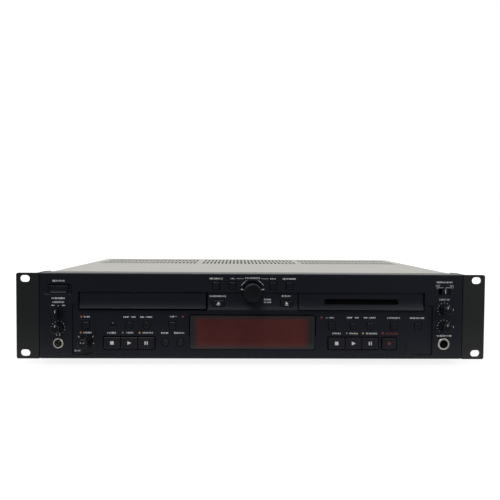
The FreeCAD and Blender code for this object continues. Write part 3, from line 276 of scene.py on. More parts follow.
def printedInk(name, hexColour):
    # pad-printed ink: flat colour, thin in places
    material, tree = newMaterial(name)
    wear = grain(tree, 0.8)
    colour = mixColours(tree, spread(tree, wear.outputs["Fac"], 0.0, 1.0), dimmed(hexColour, 0.86),
                        linear(hexColour))
    closePrincipled(tree, {"Base Color": colour, "Roughness": 0.55, "IOR": 1.5})
    return material


def mouldedRubber():
    # black nitrile foot: matt with a chalky bloom
    material, tree = newMaterial("mouldedRubber")
    bloom = grain(tree, 4.0, 4.0)
    colour = twoTone(tree, bloom, "#101010", "#1b1b1a")
    closePrincipled(tree, {
        "Base Color": colour, "Roughness": spread(tree, bloom.outputs["Fac"], 0.7, 0.85), "IOR": 1.52})
    return material


def solderMask():
    # green lacquer on glass-fibre board, with the weave just showing
    material, tree = newMaterial("solderMask")
    coords = addNode(tree, "ShaderNodeTexCoord")
    weave = addNode(tree, "ShaderNodeTexChecker", {"Vector": coords.outputs["Object"], "Scale": 1000.0 / 1.2,
                                                   "Color1": linear("#10402a"), "Color2": linear("#124530")})
    closePrincipled(tree, {"Base Color": weave.outputs["Color"], "Roughness": 0.3, "IOR": 1.5})
    return material


# Geometry Nodes


def newTree(name, inputs):
    tree = bpy.data.node_groups.new(name, "GeometryNodeTree")
    tree.interface.new_socket("Geometry", in_out="INPUT", socket_type="NodeSocketGeometry")
    for label, kind in inputs:
        tree.interface.new_socket(label, in_out="INPUT", socket_type=kind)
    tree.interface.new_socket("Geometry", in_out="OUTPUT", socket_type="NodeSocketGeometry")
    return tree


def dashRowTree():
    # a row of small raised dashes with varied widths, standing on a line of points
    tree = newTree("dashRow", [("Count", "NodeSocketInt"), ("Pitch", "NodeSocketFloat"),
                               ("Height", "NodeSocketFloat"), ("Seed", "NodeSocketInt"),
                               ("Material", "NodeSocketMaterial")])
    given = addNode(tree, "NodeGroupInput")
    step = addNode(tree, "ShaderNodeCombineXYZ", {"X": given.outputs["Pitch"]})
    line = addNode(tree, "GeometryNodeMeshLine", {"Count": given.outputs["Count"],
                                                  "Offset": step.outputs["Vector"]})
    size = addNode(tree, "ShaderNodeCombineXYZ", {"X": given.outputs["Pitch"], "Y": 0.0001,
                                                  "Z": given.outputs["Height"]})
    dash = addNode(tree, "GeometryNodeMeshCube", {"Size": size.outputs["Vector"]})
    widths = addNode(tree, "FunctionNodeRandomValue", {"Seed": given.outputs["Seed"]}, data_type="FLOAT_VECTOR")
    widths.inputs[0].default_value = (0.34, 1.0, 0.62)
    widths.inputs[1].default_value = (0.74, 1.0, 1.0)
    placed = addNode(tree, "GeometryNodeInstanceOnPoints", {
        "Points": line.outputs["Mesh"], "Instance": dash.outputs["Mesh"], "Scale": widths.outputs[0]})
    real = addNode(tree, "GeometryNodeRealizeInstances", {"Geometry": placed.outputs["Instances"]})
    inked = addNode(tree, "GeometryNodeSetMaterial", {"Geometry": real.outputs["Geometry"],
                                                      "Material": given.outputs["Material"]})
    addNode(tree, "NodeGroupOutput", {"Geometry": inked.outputs["Geometry"]})
    return tree


def scatterTree():
    # one shape on every point, turned so that its Z follows the point's "outward" direction
    tree = newTree("shapeOnPoints", [("Shape", "NodeSocketObject"), ("Turn", "NodeSocketFloat"),
                                     ("Seed", "NodeSocketInt"), ("Material", "NodeSocketMaterial")])
    given = addNode(tree, "NodeGroupInput")
    shape = addNode(tree, "GeometryNodeObjectInfo", {"Object": given.outputs["Shape"]})
    outward = addNode(tree, "GeometryNodeInputNamedAttribute", {"Name": "outward"}, data_type="FLOAT_VECTOR")
    aim = addNode(tree, "FunctionNodeAlignRotationToVector", {"Vector": outward.outputs["Attribute"]}, axis="Z")
    spin = addNode(tree, "FunctionNodeRandomValue", {"Seed": given.outputs["Seed"]}, data_type="FLOAT")
    tree.links.new(given.outputs["Turn"], spin.inputs[3])
    own = addNode(tree, "FunctionNodeAxisAngleToRotation", {"Axis": (0.0, 0.0, 1.0), "Angle": spin.outputs[1]})
    turned = addNode(tree, "FunctionNodeRotateRotation", {"Rotation": aim.outputs[0], "Rotate By": own.outputs[0]},
                     rotation_space="LOCAL")
    placed = addNode(tree, "GeometryNodeInstanceOnPoints", {
        "Points": given.outputs["Geometry"], "Instance": shape.outputs["Geometry"],
        "Rotation": turned.outputs[0]})
    real = addNode(tree, "GeometryNodeRealizeInstances", {"Geometry": placed.outputs["Instances"]})
    inked = addNode(tree, "GeometryNodeSetMaterial", {"Geometry": real.outputs["Geometry"],
                                                      "Material": given.outputs["Material"]})
    addNode(tree, "NodeGroupOutput", {"Geometry": inked.outputs["Geometry"]})
    return tree


def grow(tree, source, values):
    # runs a tree on a mesh and gives back the plain result
    carrier = bpy.data.objects.new("carrier", source)
    bpy.context.scene.collection.objects.link(carrier)
    modifier = carrier.modifiers.new("grow", "NODES")
    modifier.node_group = tree
    for item in tree.interface.items_tree:
        if item.in_out == "INPUT" and item.name in values:
            modifier[item.identifier] = values[item.name]
    bpy.context.view_layer.update()
    result = bpy.data.meshes.new_from_object(carrier.evaluated_get(bpy.context.evaluated_depsgraph_get()))
    carrier.modifiers.clear()
    bpy.data.objects.remove(carrier)
    return result


# Printed marks. Places are in millimetres on the panel: x from the middle, h up from its lower edge.

# depths of the printed faces behind the front plane, and how far a print stands out of its face and into it
panelFace = {"column": 0.0, "field": 1.6, "bay": 2.0, "proud": 0.05, "depth": 0.2}
bayCurve = {"top": 61.0, "height": 10.2, "reach": 1.6}


def onPanel(x, depth, h):
    return Vector((x / 1000, frontY + depth / 1000, footZ + h / 1000))


def addFlat(bm, outline, face, inkIndex=0):
    # a thin print: face is the depth behind the panel's front plane, or a function of x and h
    depthAt = face if callable(face) else (lambda x, h: face)
    front = [bm.verts.new(onPanel(x, depthAt(x, h) - panelFace["proud"], h)) for x, h in outline]
    back = [bm.verts.new(onPanel(x, depthAt(x, h) + panelFace["depth"], h)) for x, h in outline]
    faces = [bm.faces.new(front), bm.faces.new(back[::-1])]
    for i in range(len(outline)):
        k = (i + 1) % len(outline)
        faces.append(bm.faces.new((front[k], front[i], back[i], back[k])))
    for made in faces:
        made.material_index = inkIndex


def bar(x, h, width, height):
    return [(x - width / 2, h - height / 2), (x + width / 2, h - height / 2),
            (x + width / 2, h + height / 2), (x - width / 2, h + height / 2)]


def slant(xLow, xHigh, low, high, width):
    # a stroke that leans from one x at its foot to another at its head
    half = width / 2
    return [(xLow - half, low), (xLow + half, low), (xHigh + half, high), (xHigh - half, high)]


def arrow(x, h, width, height, side=1):
    # a triangle that points right, or left with side -1
    back, tip = x - side * width / 2, x + side * width / 2
    points = [(back, h - height / 2), (tip, h), (back, h + height / 2)]
    return points if side > 0 else points[::-1]


def disc(x, h, radius, sides=20):
    return [(x + radius * math.cos(2 * math.pi * i / sides), h + radius * math.sin(2 * math.pi * i / sides))
            for i in range(sides)]


def addArc(bm, x, h, radius, width, start, end, face, sides):
    # a thin ring or part of one, as a strip of short quads
    for i in range(sides):
        a, b = (math.radians(start + (end - start) * (i + k) / sides) for k in (0, 1))
        corners = [(radius - width / 2, a), (radius + width / 2, a), (radius + width / 2, b),
                   (radius - width / 2, b)]
        outline = [(x + r * math.cos(t), h + r * math.sin(t)) for r, t in corners]
        addFlat(bm, outline, face)


def finishPiece(bm, name, body, materials):
    mesh = bpy.data.meshes.new(name)
    for material in materials:
        mesh.materials.append(material)
    bm.normal_update()
    bm.to_mesh(mesh)
    bm.free()
    piece = bpy.data.objects.new(name, mesh)
    bpy.context.scene.collection.objects.link(piece)
    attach(piece, body)
    return piece


labelRows = {
    # x, h, width of each short row of dashes, and the face it is printed on: column, field or bay
    "left": [(-198.4, 80.0, 12.5, 0), (-198.6, 62.1, 13.7, 0), (-198.7, 58.1, 12.5, 0)],
    "lowerLeft": [(-170.3, 42.9, 6.0, 1), (-169.7, 26.4, 9.5, 1), (-179.8, 7.9, 6.8, 1),
                  (-145.0, 26.4, 9.3, 1), (-126.3, 26.5, 7.2, 1), (-108.0, 26.5, 10.7, 1),
                  (-83.2, 43.3, 4.7, 1), (-90.6, 26.4, 7.0, 1), (-75.6, 26.4, 11.5, 1)],
    "centre": [(-38.0, 83.0, 13.8, 0), (-21.1, 83.0, 4.3, 0), (-0.4, 83.6, 15.0, 0), (20.5, 83.0, 5.5, 0),
               (37.3, 83.0, 14.0, 0), (-36.3, 64.6, 17.0, 2), (34.6, 65.0, 8.7, 2), (15.2, 61.3, 8.4, 2),
               (15.2, 58.4, 8.4, 2)],
    "lowerRight": [(82.0, 42.7, 5.3, 1), (146.6, 42.7, 13.7, 1),
                   (171.2, 42.6, 15.2, 1), (87.1, 26.3, 9.0, 1), (105.0, 26.3, 8.8, 1), (123.8, 26.3, 11.8, 1)],
    "right": [(198.8, 80.2, 17.0, 0), (199.0, 62.1, 10.3, 0), (199.3, 24.4, 16.0, 0)],
}
dashSize = {"pitch": 1.55, "height": 1.9}


def bayDepth(x, h):
    # the bays are flat at the top and curve forward below
    if h > bayCurve["top"]:
        return panelFace["bay"]
    share = (bayCurve["top"] - h) / bayCurve["height"]
    return panelFace["bay"] - bayCurve["reach"] * share * share


def makeLabels():
    tree = dashRowTree()
    bm = bmesh.new()
    rows = [row for group in labelRows.values() for row in group]
    for seed, (x, h, width, face) in enumerate(rows, start=1):
        count = max(2, round(width / dashSize["pitch"]))
        row = grow(tree, bpy.data.meshes.new("row"), {
            "Count": count, "Pitch": dashSize["pitch"] / 1000, "Height": dashSize["height"] / 1000, "Seed": seed})
        depth = (panelFace["column"], panelFace["field"], bayDepth(x, h))[face]
        left = x - (count - 1) * dashSize["pitch"] / 2
        row.transform(Matrix.Translation(onPanel(left, depth, h)))
        bm.from_mesh(row)
        bpy.data.meshes.remove(row)
    finishPiece(bm, "printed_label_rows", "case", [ink["white"]])


knobScale = {"radius": 6.3, "length": 0.9, "halfWidth": 0.22, "ticks": 11, "reach": 135.0}


def addScale(bm, x, h, face):
    # short radial ticks round a knob, as far to each side of straight up
    inner, outer = knobScale["radius"], knobScale["radius"] + knobScale["length"]
    half, reach = knobScale["halfWidth"], knobScale["reach"]
    for i in range(knobScale["ticks"]):
        angle = math.radians(90.0 + reach - 2 * reach * i / (knobScale["ticks"] - 1))
        c, s = math.cos(angle), math.sin(angle)
        outline = [(x + r * c - k * half * s, h + r * s + k * half * c)
                   for r, k in ((inner, -1), (outer, -1), (outer, 1), (inner, 1))]
        addFlat(bm, outline, face)


def headphoneSign(bm, x, h, face):
    addArc(bm, x, h - 0.2, 1.7, 0.45, 10.0, 170.0, face, sides=8)
    for side in (-1, 1):
        addFlat(bm, bar(x + side * 1.6, h - 0.9, 0.9, 1.5), face)


def makeSigns():
    bm = bmesh.new()
    column, field = panelFace["column"], panelFace["field"]
    hairline = 0.35
    for x in (-204.2, -193.4):
        addFlat(bm, bar(x, 54.7, 3.2, 0.8), column)
    addFlat(bm, disc(-198.7, 54.3, 0.5, 10), column)
    headphoneSign(bm, -199.1, 25.2, column)
    for x, h in ((-199.0, 31.9), (199.0, 52.0), (199.0, 34.0)):
        addScale(bm, x, h, column)
    for x, h in ((208.6, 51.6), (209.0, 33.8)):
        addFlat(bm, bar(x, h, 0.5, 1.8), column)
    # ticks that lean away from the pitch knob
    for x, lean in ((-177.9, -1.3), (-164.8, 1.3)):
        addFlat(bm, slant(x, x + lean, 21.5, 23.1, 0.6), field)
    addFlat(bm, bar(-163.6, 15.5, 1.4, 0.5), field)
    # brackets over the slide switch
    for x0, x1 in ((191.0, 197.7), (200.2, 208.4)):
        addFlat(bm, bar((x0 + x1) / 2, 74.6, x1 - x0, hairline), column)
        addFlat(bm, bar(x0 + 0.17, 74.0, hairline, 1.2), column)
    # lines between the menu marks and the arcs beside the dial
    for x0, x1 in ((-17.6, -9.3), (8.6, 16.0)):
        addFlat(bm, bar((x0 + x1) / 2, 83.0, x1 - x0, hairline), column)
    for start, end in ((118.0, 152.0), (28.0, 62.0)):
        addArc(bm, -0.4, 70.0, 12.6, 0.4, start, end, column, sides=8)
    for x, side in ((-11.9, -1), (11.2, 1)):
        addFlat(bm, arrow(x, 72.0, 1.8, 1.8, side), column)
        addFlat(bm, bar(x - side * 1.7, 72.0, 1.4, 0.5), column)
    # search and skip signs over the round buttons: two triangles, a slash, two triangles that run to a bar
    skipHeight = 42.8
    for x, side in ((-127.3, -1), (-109.1, 1), (103.5, -1), (122.0, 1)):
        for step in (-5.4, -3.3, 1.9, 4.0):
            addFlat(bm, arrow(x + side * step, skipHeight, 2.1, 1.9, side), field)
        addFlat(bm, bar(x + side * 5.3, skipHeight, 0.5, 1.9), field)
        addFlat(bm, slant(x - 1.1, x - 0.1, skipHeight - 1.0, skipHeight + 1.0, 0.4), field)
    addFlat(bm, bar(-79.0, 43.3, 2.2, 0.4), field)
    addFlat(bm, bar(77.2, 42.7, 2.6, 0.4), field)
    finishPiece(bm, "printed_signs", "case", [ink["white"]])
    bm = bmesh.new()
    for index in range(9):
        addFlat(bm, bar(138.9 + index * dashSize["pitch"], 26.3, 0.95, 1.8), field)
    finishPiece(bm, "printed_record_row", "case", [ink["red"]])


switchWords = {"places": (("OFF", 192.0), ("ON", 206.3)), "h": 75.7, "face": -0.02, "size": 0.0026,
               "extrude": 0.00004}


def makeSwitchWords():
    # ON and OFF beside the slide switch, drawn as flat letters
    bm = bmesh.new()
    upright = Matrix.Rotation(math.pi / 2, 4, "X")
    for word, x in switchWords["places"]:
        data = bpy.data.curves.new("switchWord", "FONT")
        data.body = word
        data.size = switchWords["size"]
        data.align_x = "CENTER"
        data.extrude = switchWords["extrude"]
        carrier = bpy.data.objects.new("switchWord", data)
        bpy.context.scene.collection.objects.link(carrier)
        bpy.context.view_layer.update()
        mesh = bpy.data.meshes.new_from_object(carrier.evaluated_get(bpy.context.evaluated_depsgraph_get()))
        mesh.transform(Matrix.Translation(onPanel(x, switchWords["face"], switchWords["h"])) @ upright)
        bm.from_mesh(mesh)
        bpy.data.objects.remove(carrier)
        bpy.data.meshes.remove(mesh)
    bmesh.ops.recalc_face_normals(bm, faces=bm.faces)
    finishPiece(bm, "switch_words", "case", [ink["white"]])


# Signs on the keys and buttons, each riding on its own body

keyFace = {"low": 10.3, "high": 22.0, "lean": 0.9, "proud": 1.4, "platformLow": 2.0, "platformTop": 24.0}
keySignHeight = 16.3
ejectSign = {"h": 57.7, "width": 3.6, "face": -0.4}


def keyDepth(x, h):
    share = (keyFace["high"] - keyFace["platformLow"]) / (keyFace["platformTop"] - keyFace["platformLow"])
    back = panelFace["field"] * share - keyFace["proud"]
    return back - keyFace["lean"] * (keyFace["high"] - h) / (keyFace["high"] - keyFace["low"])


def centreOf(node):
    low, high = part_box(node)
    return (low[0] + high[0]) * 500, (low[2] + high[2]) * 500 - footZ * 1000


def makeKeySigns():
    h = keySignHeight
    drawn = {
        "stop": lambda bm, x: addFlat(bm, bar(x, h, 3.6, 3.4), keyDepth),
        "play": lambda bm, x: addFlat(bm, arrow(x + 0.3, h, 4.0, 3.8), keyDepth),
        "ready": lambda bm, x: [addFlat(bm, bar(x + k, h, 1.1, 3.6), keyDepth) for k in (-1.1, 1.1)],
        "record": lambda bm, x: addFlat(bm, disc(x, h, 1.8), keyDepth),
    }
    for side in ("cd", "md"):
        for kind in ("stop", "play", "ready", "record"):
            node = side + "_" + kind + "_key"
            if node in bodyOf:
                bm = bmesh.new()
                drawn[kind](bm, centreOf(node)[0])
                colour = "red" if kind == "record" else "white"
                finishPiece(bm, node + "_sign", bodyOf[node], [ink[colour]])


def makeEjectSigns():
    h, width, face = ejectSign["h"], ejectSign["width"], ejectSign["face"]
    for node in ("open_close_button", "eject_button"):
        x = centreOf(node)[0]
        bm = bmesh.new()
        addFlat(bm, [(x - width / 2, h - 0.9), (x + width / 2, h - 0.9), (x, h + 1.7)], face)
        addFlat(bm, bar(x, h - 1.8, width, 0.6), face)
        finishPiece(bm, node + "_sign", bodyOf[node], [ink["white"]])


# the stroke on each knob: its rise over the middle, width, height and depth
levelStroke = (2.9, 0.75, 2.4, -10.68)
pointerStrokes = {
    "phones_level_knob": levelStroke, "input_left_knob": levelStroke, "input_right_knob": levelStroke,
    "phones_selector": (2.4, 0.7, 2.6, -10.0),
}
pitchStroke = {"foot": 1.0, "head": 2.0, "low": 0.9, "high": 2.2, "width": 0.6, "face": -12.0}
sliderLine = {"h": 70.4, "width": 0.8, "height": 4.4, "face": 0.68}


def makePointers():
    for node, (rise, width, height, depth) in pointerStrokes.items():
        x, h = centreOf(node)
        bm = bmesh.new()
        addFlat(bm, bar(x, h + rise, width, height), depth)
        finishPiece(bm, node + "_pointer", bodyOf[node], [ink["white"]])
    # two strokes that lean apart
    x, h = centreOf("pitch_knob")
    stroke = pitchStroke
    bm = bmesh.new()
    for side in (-1, 1):
        addFlat(bm, slant(x + side * stroke["foot"], x + side * stroke["head"], h + stroke["low"],
                          h + stroke["high"], stroke["width"]), stroke["face"])
    finishPiece(bm, "pitch_knob_marks", bodyOf["pitch_knob"], [ink["white"]])
    bm = bmesh.new()
    addFlat(bm, bar(centreOf("continuous_play_slider")[0], sliderLine["h"], sliderLine["width"],
                    sliderLine["height"]), sliderLine["face"])
    finishPiece(bm, "slider_line", bodyOf["continuous_play_slider"], [ink["white"]])


# Painted shade in the seams, gap and holes, and dark inserts

# painted shade in the seams round the bay doors, as near-black strips
baySeam = {
    "low": 50.8, "high": 68.9, "steps": 6,
    "uprights": ((47.0, 1.1), (178.1, 0.9)),  # x and width
    "sill": (112.9, 50.25, 131.4, 1.1), "sillFace": 0.4,  # x, h, width and height of the lower seam
}
# painted shade in the gap round the window, as a near-black ring
windowGapShade = {"h": 27.0, "halfWidth": 64.95, "halfHeight": 17.95, "radius": 2.4, "thick": 0.8, "cornerSteps": 6}


def seamBar(bm, x, width):
    # follows the curved bay face in short steps
    low, high, steps = baySeam["low"], baySeam["high"], baySeam["steps"]
    stops = [low + (high - low) * i / steps for i in range(steps + 1)]
    for a, b in zip(stops, stops[1:]):
        addFlat(bm, bar(x, (a + b) / 2, width, b - a), bayDepth)


def windowGapLoop(grown):
    # the window's outline with round corners, grown outwards
    radius = windowGapShade["radius"] + grown
    reachX, reachH = (windowGapShade[k] - windowGapShade["radius"] for k in ("halfWidth", "halfHeight"))
    loop = []
    for sideX, sideH, start in ((1, 1, 0), (-1, 1, 90), (-1, -1, 180), (1, -1, 270)):
        for i in range(windowGapShade["cornerSteps"] + 1):
            angle = math.radians(start + 90 * i / windowGapShade["cornerSteps"])
            loop.append((sideX * reachX + radius * math.cos(angle),
                         windowGapShade["h"] + sideH * reachH + radius * math.sin(angle)))
    return loop


def makeSeams():
    # painted shade: near-black strips with no sheen in the seams round both bay doors and in the gap round the
    # window
    bm = bmesh.new()
    for side in (-1, 1):
        x, h, width, height = baySeam["sill"]
        addFlat(bm, bar(side * x, h, width, height), baySeam["sillFace"])
        for x, width in baySeam["uprights"]:
            seamBar(bm, side * x, width)
    inner = windowGapLoop(0.0)
    outer = windowGapLoop(windowGapShade["thick"])
    for i in range(len(inner)):
        k = (i + 1) % len(inner)
        addFlat(bm, [inner[i], outer[i], outer[k], inner[k]], panelFace["field"])
    finishPiece(bm, "panel_seams", "case", [finishes["seam"]])


def joinRings(bm, rings, inkIndex=0):
    # a closed skin over rings of vertices
    for a, b in zip(rings, rings[1:]):
        for i in range(len(a)):
            k = (i + 1) % len(a)
            bm.faces.new((a[i], a[k], b[k], b[i])).material_index = inkIndex
    bm.faces.new(rings[0][::-1]).material_index = inkIndex
    bm.faces.new(rings[-1]).material_index = inkIndex


def lathe(bm, profile, centre, sides, inkIndex=0):
    # turns (radius, depth) points about a line along the depth
    rings = [[bm.verts.new(onPanel(x, depth, h)) for x, h in disc(*centre, radius, sides)]
             for radius, depth in profile]
    joinRings(bm, rings, inkIndex)


insulator = {
    "profile": [(4.2, 0.9), (4.36, 1.05), (4.36, 2.2)], "sides": 32,
    "contacts": 6, "circle": 2.5, "contactRadius": 0.45, "contactSides": 12, "face": 0.9,
}
bushing = {"h": 15.8, "radius": 3.55, "width": 0.7, "face": -0.9, "sides": 32}


def makeSocketInsert():
    # the keyboard socket's insulator: a black disc with a ring of contact holes, which are flat near-black discs of
    # painted shade
    x, h = centreOf("keyboard_socket")
    bm = bmesh.new()
    lathe(bm, insulator["profile"], (x, h), insulator["sides"])
    for i in range(insulator["contacts"]):
        angle = math.radians(30 + 360 / insulator["contacts"] * i)
        place = (x + insulator["circle"] * math.cos(angle), h + insulator["circle"] * math.sin(angle))
        addFlat(bm, disc(*place, insulator["contactRadius"], insulator["contactSides"]), insulator["face"], 1)
    bmesh.ops.recalc_face_normals(bm, faces=bm.faces)
    finishPiece(bm, "socket_insert", "case", [finishes["flap"], finishes["seam"]])
    # the headphone socket's inner bushing
    bm = bmesh.new()
    addArc(bm, centreOf("phones_jack")[0], bushing["h"], bushing["radius"], bushing["width"], 0.0, 360.0,
           bushing["face"], bushing["sides"])
    finishPiece(bm, "phones_bushing", "case", [finishes["flap"]])


# Lamps: one piece with a domed lens at each place stands in for the CAD node of light guides

lampColours = [
    (-175.9, 42.9, "orange"), (-176.6, 26.5, "orange"), (-133.6, 26.5, "green"), (-116.3, 26.5, "amber"),
    (-72.0, 43.2, "red"), (71.4, 42.8, "red"), (97.9, 26.5, "green"), (114.9, 26.5, "amber"),
    (135.6, 26.5, "red"), (-143.8, 34.2, "sensor"),
]
lampShape = {"radius": 1.0, "sensorRadius": 2.8, "front": 1.1, "back": 14.9, "sides": 20}


def makeLamps():
    bm = bmesh.new()
    names = ["orange", "green", "amber", "red", "sensor"]
    for x, h, colour in lampColours:
        radius = lampShape["sensorRadius" if colour == "sensor" else "radius"]
        front = lampShape["front"]
        profile = [(radius * 0.45, front - 0.05), (radius * 0.78, front + 0.08), (radius * 0.95, front + 0.3),
                   (radius, front + 0.6), (radius, lampShape["back"])]
        lathe(bm, profile, (x, h), lampShape["sides"], names.index(colour))
    bmesh.ops.recalc_face_normals(bm, faces=bm.faces)
    piece = finishPiece(bm, "lamp_guides", "case", [lampFinish[name] for name in names])
    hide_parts("indicator_lamps")


# Case screws

screwShape = {"thick": 1.8, "recess": 3.6, "arm": 0.9, "deep": 1.1, "sides": 20}
screwProfile = [(3.4, 0.0), (3.4, 0.7), (3.15, 1.25), (2.5, 1.65), (1.4, 1.8)]


def screwMesh():
    # a pan head with a cross recess, its seat at the origin and its crown up
    bm = bmesh.new()
    joinRings(bm, [[bm.verts.new((x, y, z / 1000)) for x, y in disc(0.0, 0.0, r / 1000, screwShape["sides"])]
                   for r, z in screwProfile])
    head = bpy.data.meshes.new("screwHead")
    bm.to_mesh(head)
    bm.free()
    cutter = bmesh.new()
    size, arm, deep = (screwShape[k] / 1000 for k in ("recess", "arm", "deep"))
    top = screwShape["thick"] / 1000
    for turn in (0.0, math.pi / 2):
        place = Matrix.Translation((0, 0, top)) @ Matrix.Rotation(turn, 4, "Z")
        place = place @ Matrix.Diagonal((size, arm, 2 * deep, 1))
        bmesh.ops.create_cube(cutter, size=1.0, matrix=place)
    tool = bpy.data.meshes.new("screwRecess")
    cutter.to_mesh(tool)
    cutter.free()
    headObject = bpy.data.objects.new("screwHead", head)
    toolObject = bpy.data.objects.new("screwRecess", tool)
    for made in (headObject, toolObject):
        bpy.context.scene.collection.objects.link(made)
    boolean = headObject.modifiers.new("recess", "BOOLEAN")
    boolean.operation = "DIFFERENCE"
    boolean.object = toolObject
    boolean.use_self = True
    bpy.context.view_layer.update()
    result = bpy.data.meshes.new_from_object(headObject.evaluated_get(bpy.context.evaluated_depsgraph_get()))
    bpy.data.objects.remove(headObject)
    bpy.data.objects.remove(toolObject)
    return result


roundWithin = 0.0002


def screwPlaces():
    # joins the CAD screws' triangles into islands, one to a screw, and reads where each head sits
    bm = bmesh.new()
    bm.from_mesh(bpy.data.objects["case_screws"].data)
    bmesh.ops.remove_doubles(bm, verts=bm.verts, dist=1e-6)
    seen = set()
    places = []
    for start in bm.verts:
        if start in seen:
            continue
        island, queue = [], [start]
        seen.add(start)
        while queue:
            vert = queue.pop()
            island.append(vert.co.copy())
            for edge in vert.link_edges:
                other = edge.other_vert(vert)
                if other not in seen:
                    seen.add(other)
                    queue.append(other)
        low = Vector([min(v[k] for v in island) for k in range(3)])
        high = Vector([max(v[k] for v in island) for k in range(3)])
        middle = (low + high) / 2
        size = high - low
        # a screw points along y where it is round about y, and otherwise along x
        axis = 1 if size.y > size.x and abs(size.x - size.z) < roundWithin else 0
        sign = 1.0 if middle[axis] > 0 else -1.0
        outward = Vector((0, 0, 0))
        outward[axis] = sign
        crown = high[axis] if sign > 0 else low[axis]
        seat = middle.copy()
        seat[axis] = crown - sign * screwShape["thick"] / 1000
        places.append((seat, outward))
    bm.free()
    return places


def makeScrews():
    places = screwPlaces()
    points = bpy.data.meshes.new("screwSeats")
    seats, outwards = zip(*places)
    points.from_pydata(seats, [], [])
    attribute = points.attributes.new("outward", "FLOAT_VECTOR", "POINT")
    for i, outward in enumerate(outwards):
        attribute.data[i].vector = outward
    shape = bpy.data.objects.new("screwShape", screwMesh())
    bpy.context.scene.collection.objects.link(shape)
    heads = grow(scatterTree(), points, {"Shape": shape, "Turn": math.pi, "Seed": 7})
    bpy.data.objects.remove(shape)
    bm = bmesh.new()
    bm.from_mesh(heads)
    piece = finishPiece(bm, "screw_heads", "case", [finishes["screw"]])
    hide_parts("case_screws")
    print("screws placed:", len(places))


# Stage, lamps and world

stageLook = {
    "size": 14.0,
    "back": 2.0,  # how far behind the part the plane's middle lies
    "tableEnd": (0.12, 0.02),  # the table turns to paper over this stretch ahead of the panel
    "white": 1.16,  # strength of the white that the camera sees
    "whiteReach": (0.35, 0.9),  # distances from the part between which the shadow fades out
    "whiteShare": (0.74, 1.0),
}


def makeStage():
    bpy.ops.mesh.primitive_plane_add(size=stageLook["size"], location=(0.0, stageLook["back"], 0.0))
    floor = bpy.context.object
    floor.name = "floor"
    material, tree = newMaterial("seamlessPaper")
    mottle = grain(tree, 300.0)
    paperWhite = twoTone(tree, mottle, "#f4f4f2", "#f8f8f6")
    path = addNode(tree, "ShaderNodeLightPath")
    place = addNode(tree, "ShaderNodeNewGeometry")
    parts = addNode(tree, "ShaderNodeSeparateXYZ", {"Vector": place.outputs["Position"]})
    # the paper ends ahead of the deck, over a dark table that only the panel mirrors
    tableEnd, paperStart = (frontY - gap for gap in stageLook["tableEnd"])
    near = addNode(tree, "ShaderNodeMapRange", {"Value": parts.outputs["Y"], "From Min": tableEnd,
                                                "From Max": paperStart, "To Min": 0.0, "To Max": 1.0})
    pale = addNode(tree, "ShaderNodeMath", {0: near.outputs["Result"], 1: path.outputs["Is Camera Ray"]},
                   operation="MAXIMUM")
    paper = addNode(tree, "ShaderNodeBsdfDiffuse", {
        "Color": mixColours(tree, pale.outputs[0], linear("#50545a"), paperWhite)})
    white = addNode(tree, "ShaderNodeEmission", {"Color": (1, 1, 1, 1), "Strength": stageLook["white"]})
    reach = addNode(tree, "ShaderNodeVectorMath", {0: place.outputs["Position"]}, operation="LENGTH")
    (start, end), (low, high) = stageLook["whiteReach"], stageLook["whiteShare"]
    share = addNode(tree, "ShaderNodeMapRange", {"Value": reach.outputs["Value"], "From Min": start, "From Max": end,
                                                 "To Min": low, "To Max": high})
    seen = addNode(tree, "ShaderNodeMath", {0: path.outputs["Is Camera Ray"], 1: share.outputs["Result"]},
                   operation="MULTIPLY")
    both = addNode(tree, "ShaderNodeMixShader", {0: seen.outputs[0], 1: paper.outputs[0], 2: white.outputs[0]})
    closeSurface(tree, both)
    floor.data.materials.append(material)


worldLevel = {"dim": 0.06, "bright": 0.95, "above": 0.55}
worldFade = {"behind": (-0.35, 0.35), "above": (0.25, 0.8)}


def makeWorld():
    # a studio that is bright behind and above, and dim where the camera stands
    world = bpy.data.worlds.new("studio")
    bpy.context.scene.world = world
    world.use_nodes = True
    tree = world.node_tree
    tree.nodes.clear()
    coords = addNode(tree, "ShaderNodeTexCoord")
    parts = addNode(tree, "ShaderNodeSeparateXYZ", {"Vector": coords.outputs["Generated"]})
    start, end = worldFade["behind"]
    behind = addNode(tree, "ShaderNodeMapRange", {"Value": parts.outputs["Y"], "From Min": start, "From Max": end,
                                                  "To Min": 0.0, "To Max": 1.0}, interpolation_type="SMOOTHSTEP")
    start, end = worldFade["above"]
    above = addNode(tree, "ShaderNodeMapRange", {"Value": parts.outputs["Z"], "From Min": start, "From Max": end,
                                                 "To Min": 0.0, "To Max": worldLevel["above"]},
                    interpolation_type="SMOOTHSTEP")
    most = addNode(tree, "ShaderNodeMath", {0: behind.outputs["Result"], 1: above.outputs["Result"]},
                   operation="MAXIMUM")
    level = addNode(tree, "ShaderNodeMapRange", {"Value": most.outputs[0], "From Min": 0.0, "From Max": 1.0,
                                                 "To Min": worldLevel["dim"], "To Max": worldLevel["bright"]})
    path = addNode(tree, "ShaderNodeLightPath")
    strength = addNode(tree, "ShaderNodeMix", {"Factor": path.outputs["Is Camera Ray"], 2: level.outputs["Result"],
                                               3: 1.0}, data_type="FLOAT")
    sky = addNode(tree, "ShaderNodeBackground", {"Color": (1, 1, 1, 1), "Strength": strength.outputs[0]})
    addNode(tree, "ShaderNodeOutputWorld", {"Surface": sky.outputs[0]})


lampTarget = Vector((0.0, 0.0, 0.05))
studioLamps = {
    "key": {"place": (-0.5, frontY - 1.3, 1.5), "size": 1.1, "watts": 14.0},
    "fill": {"place": (1.1, frontY - 1.1, 0.7), "size": 0.9, "watts": 5.0},
}


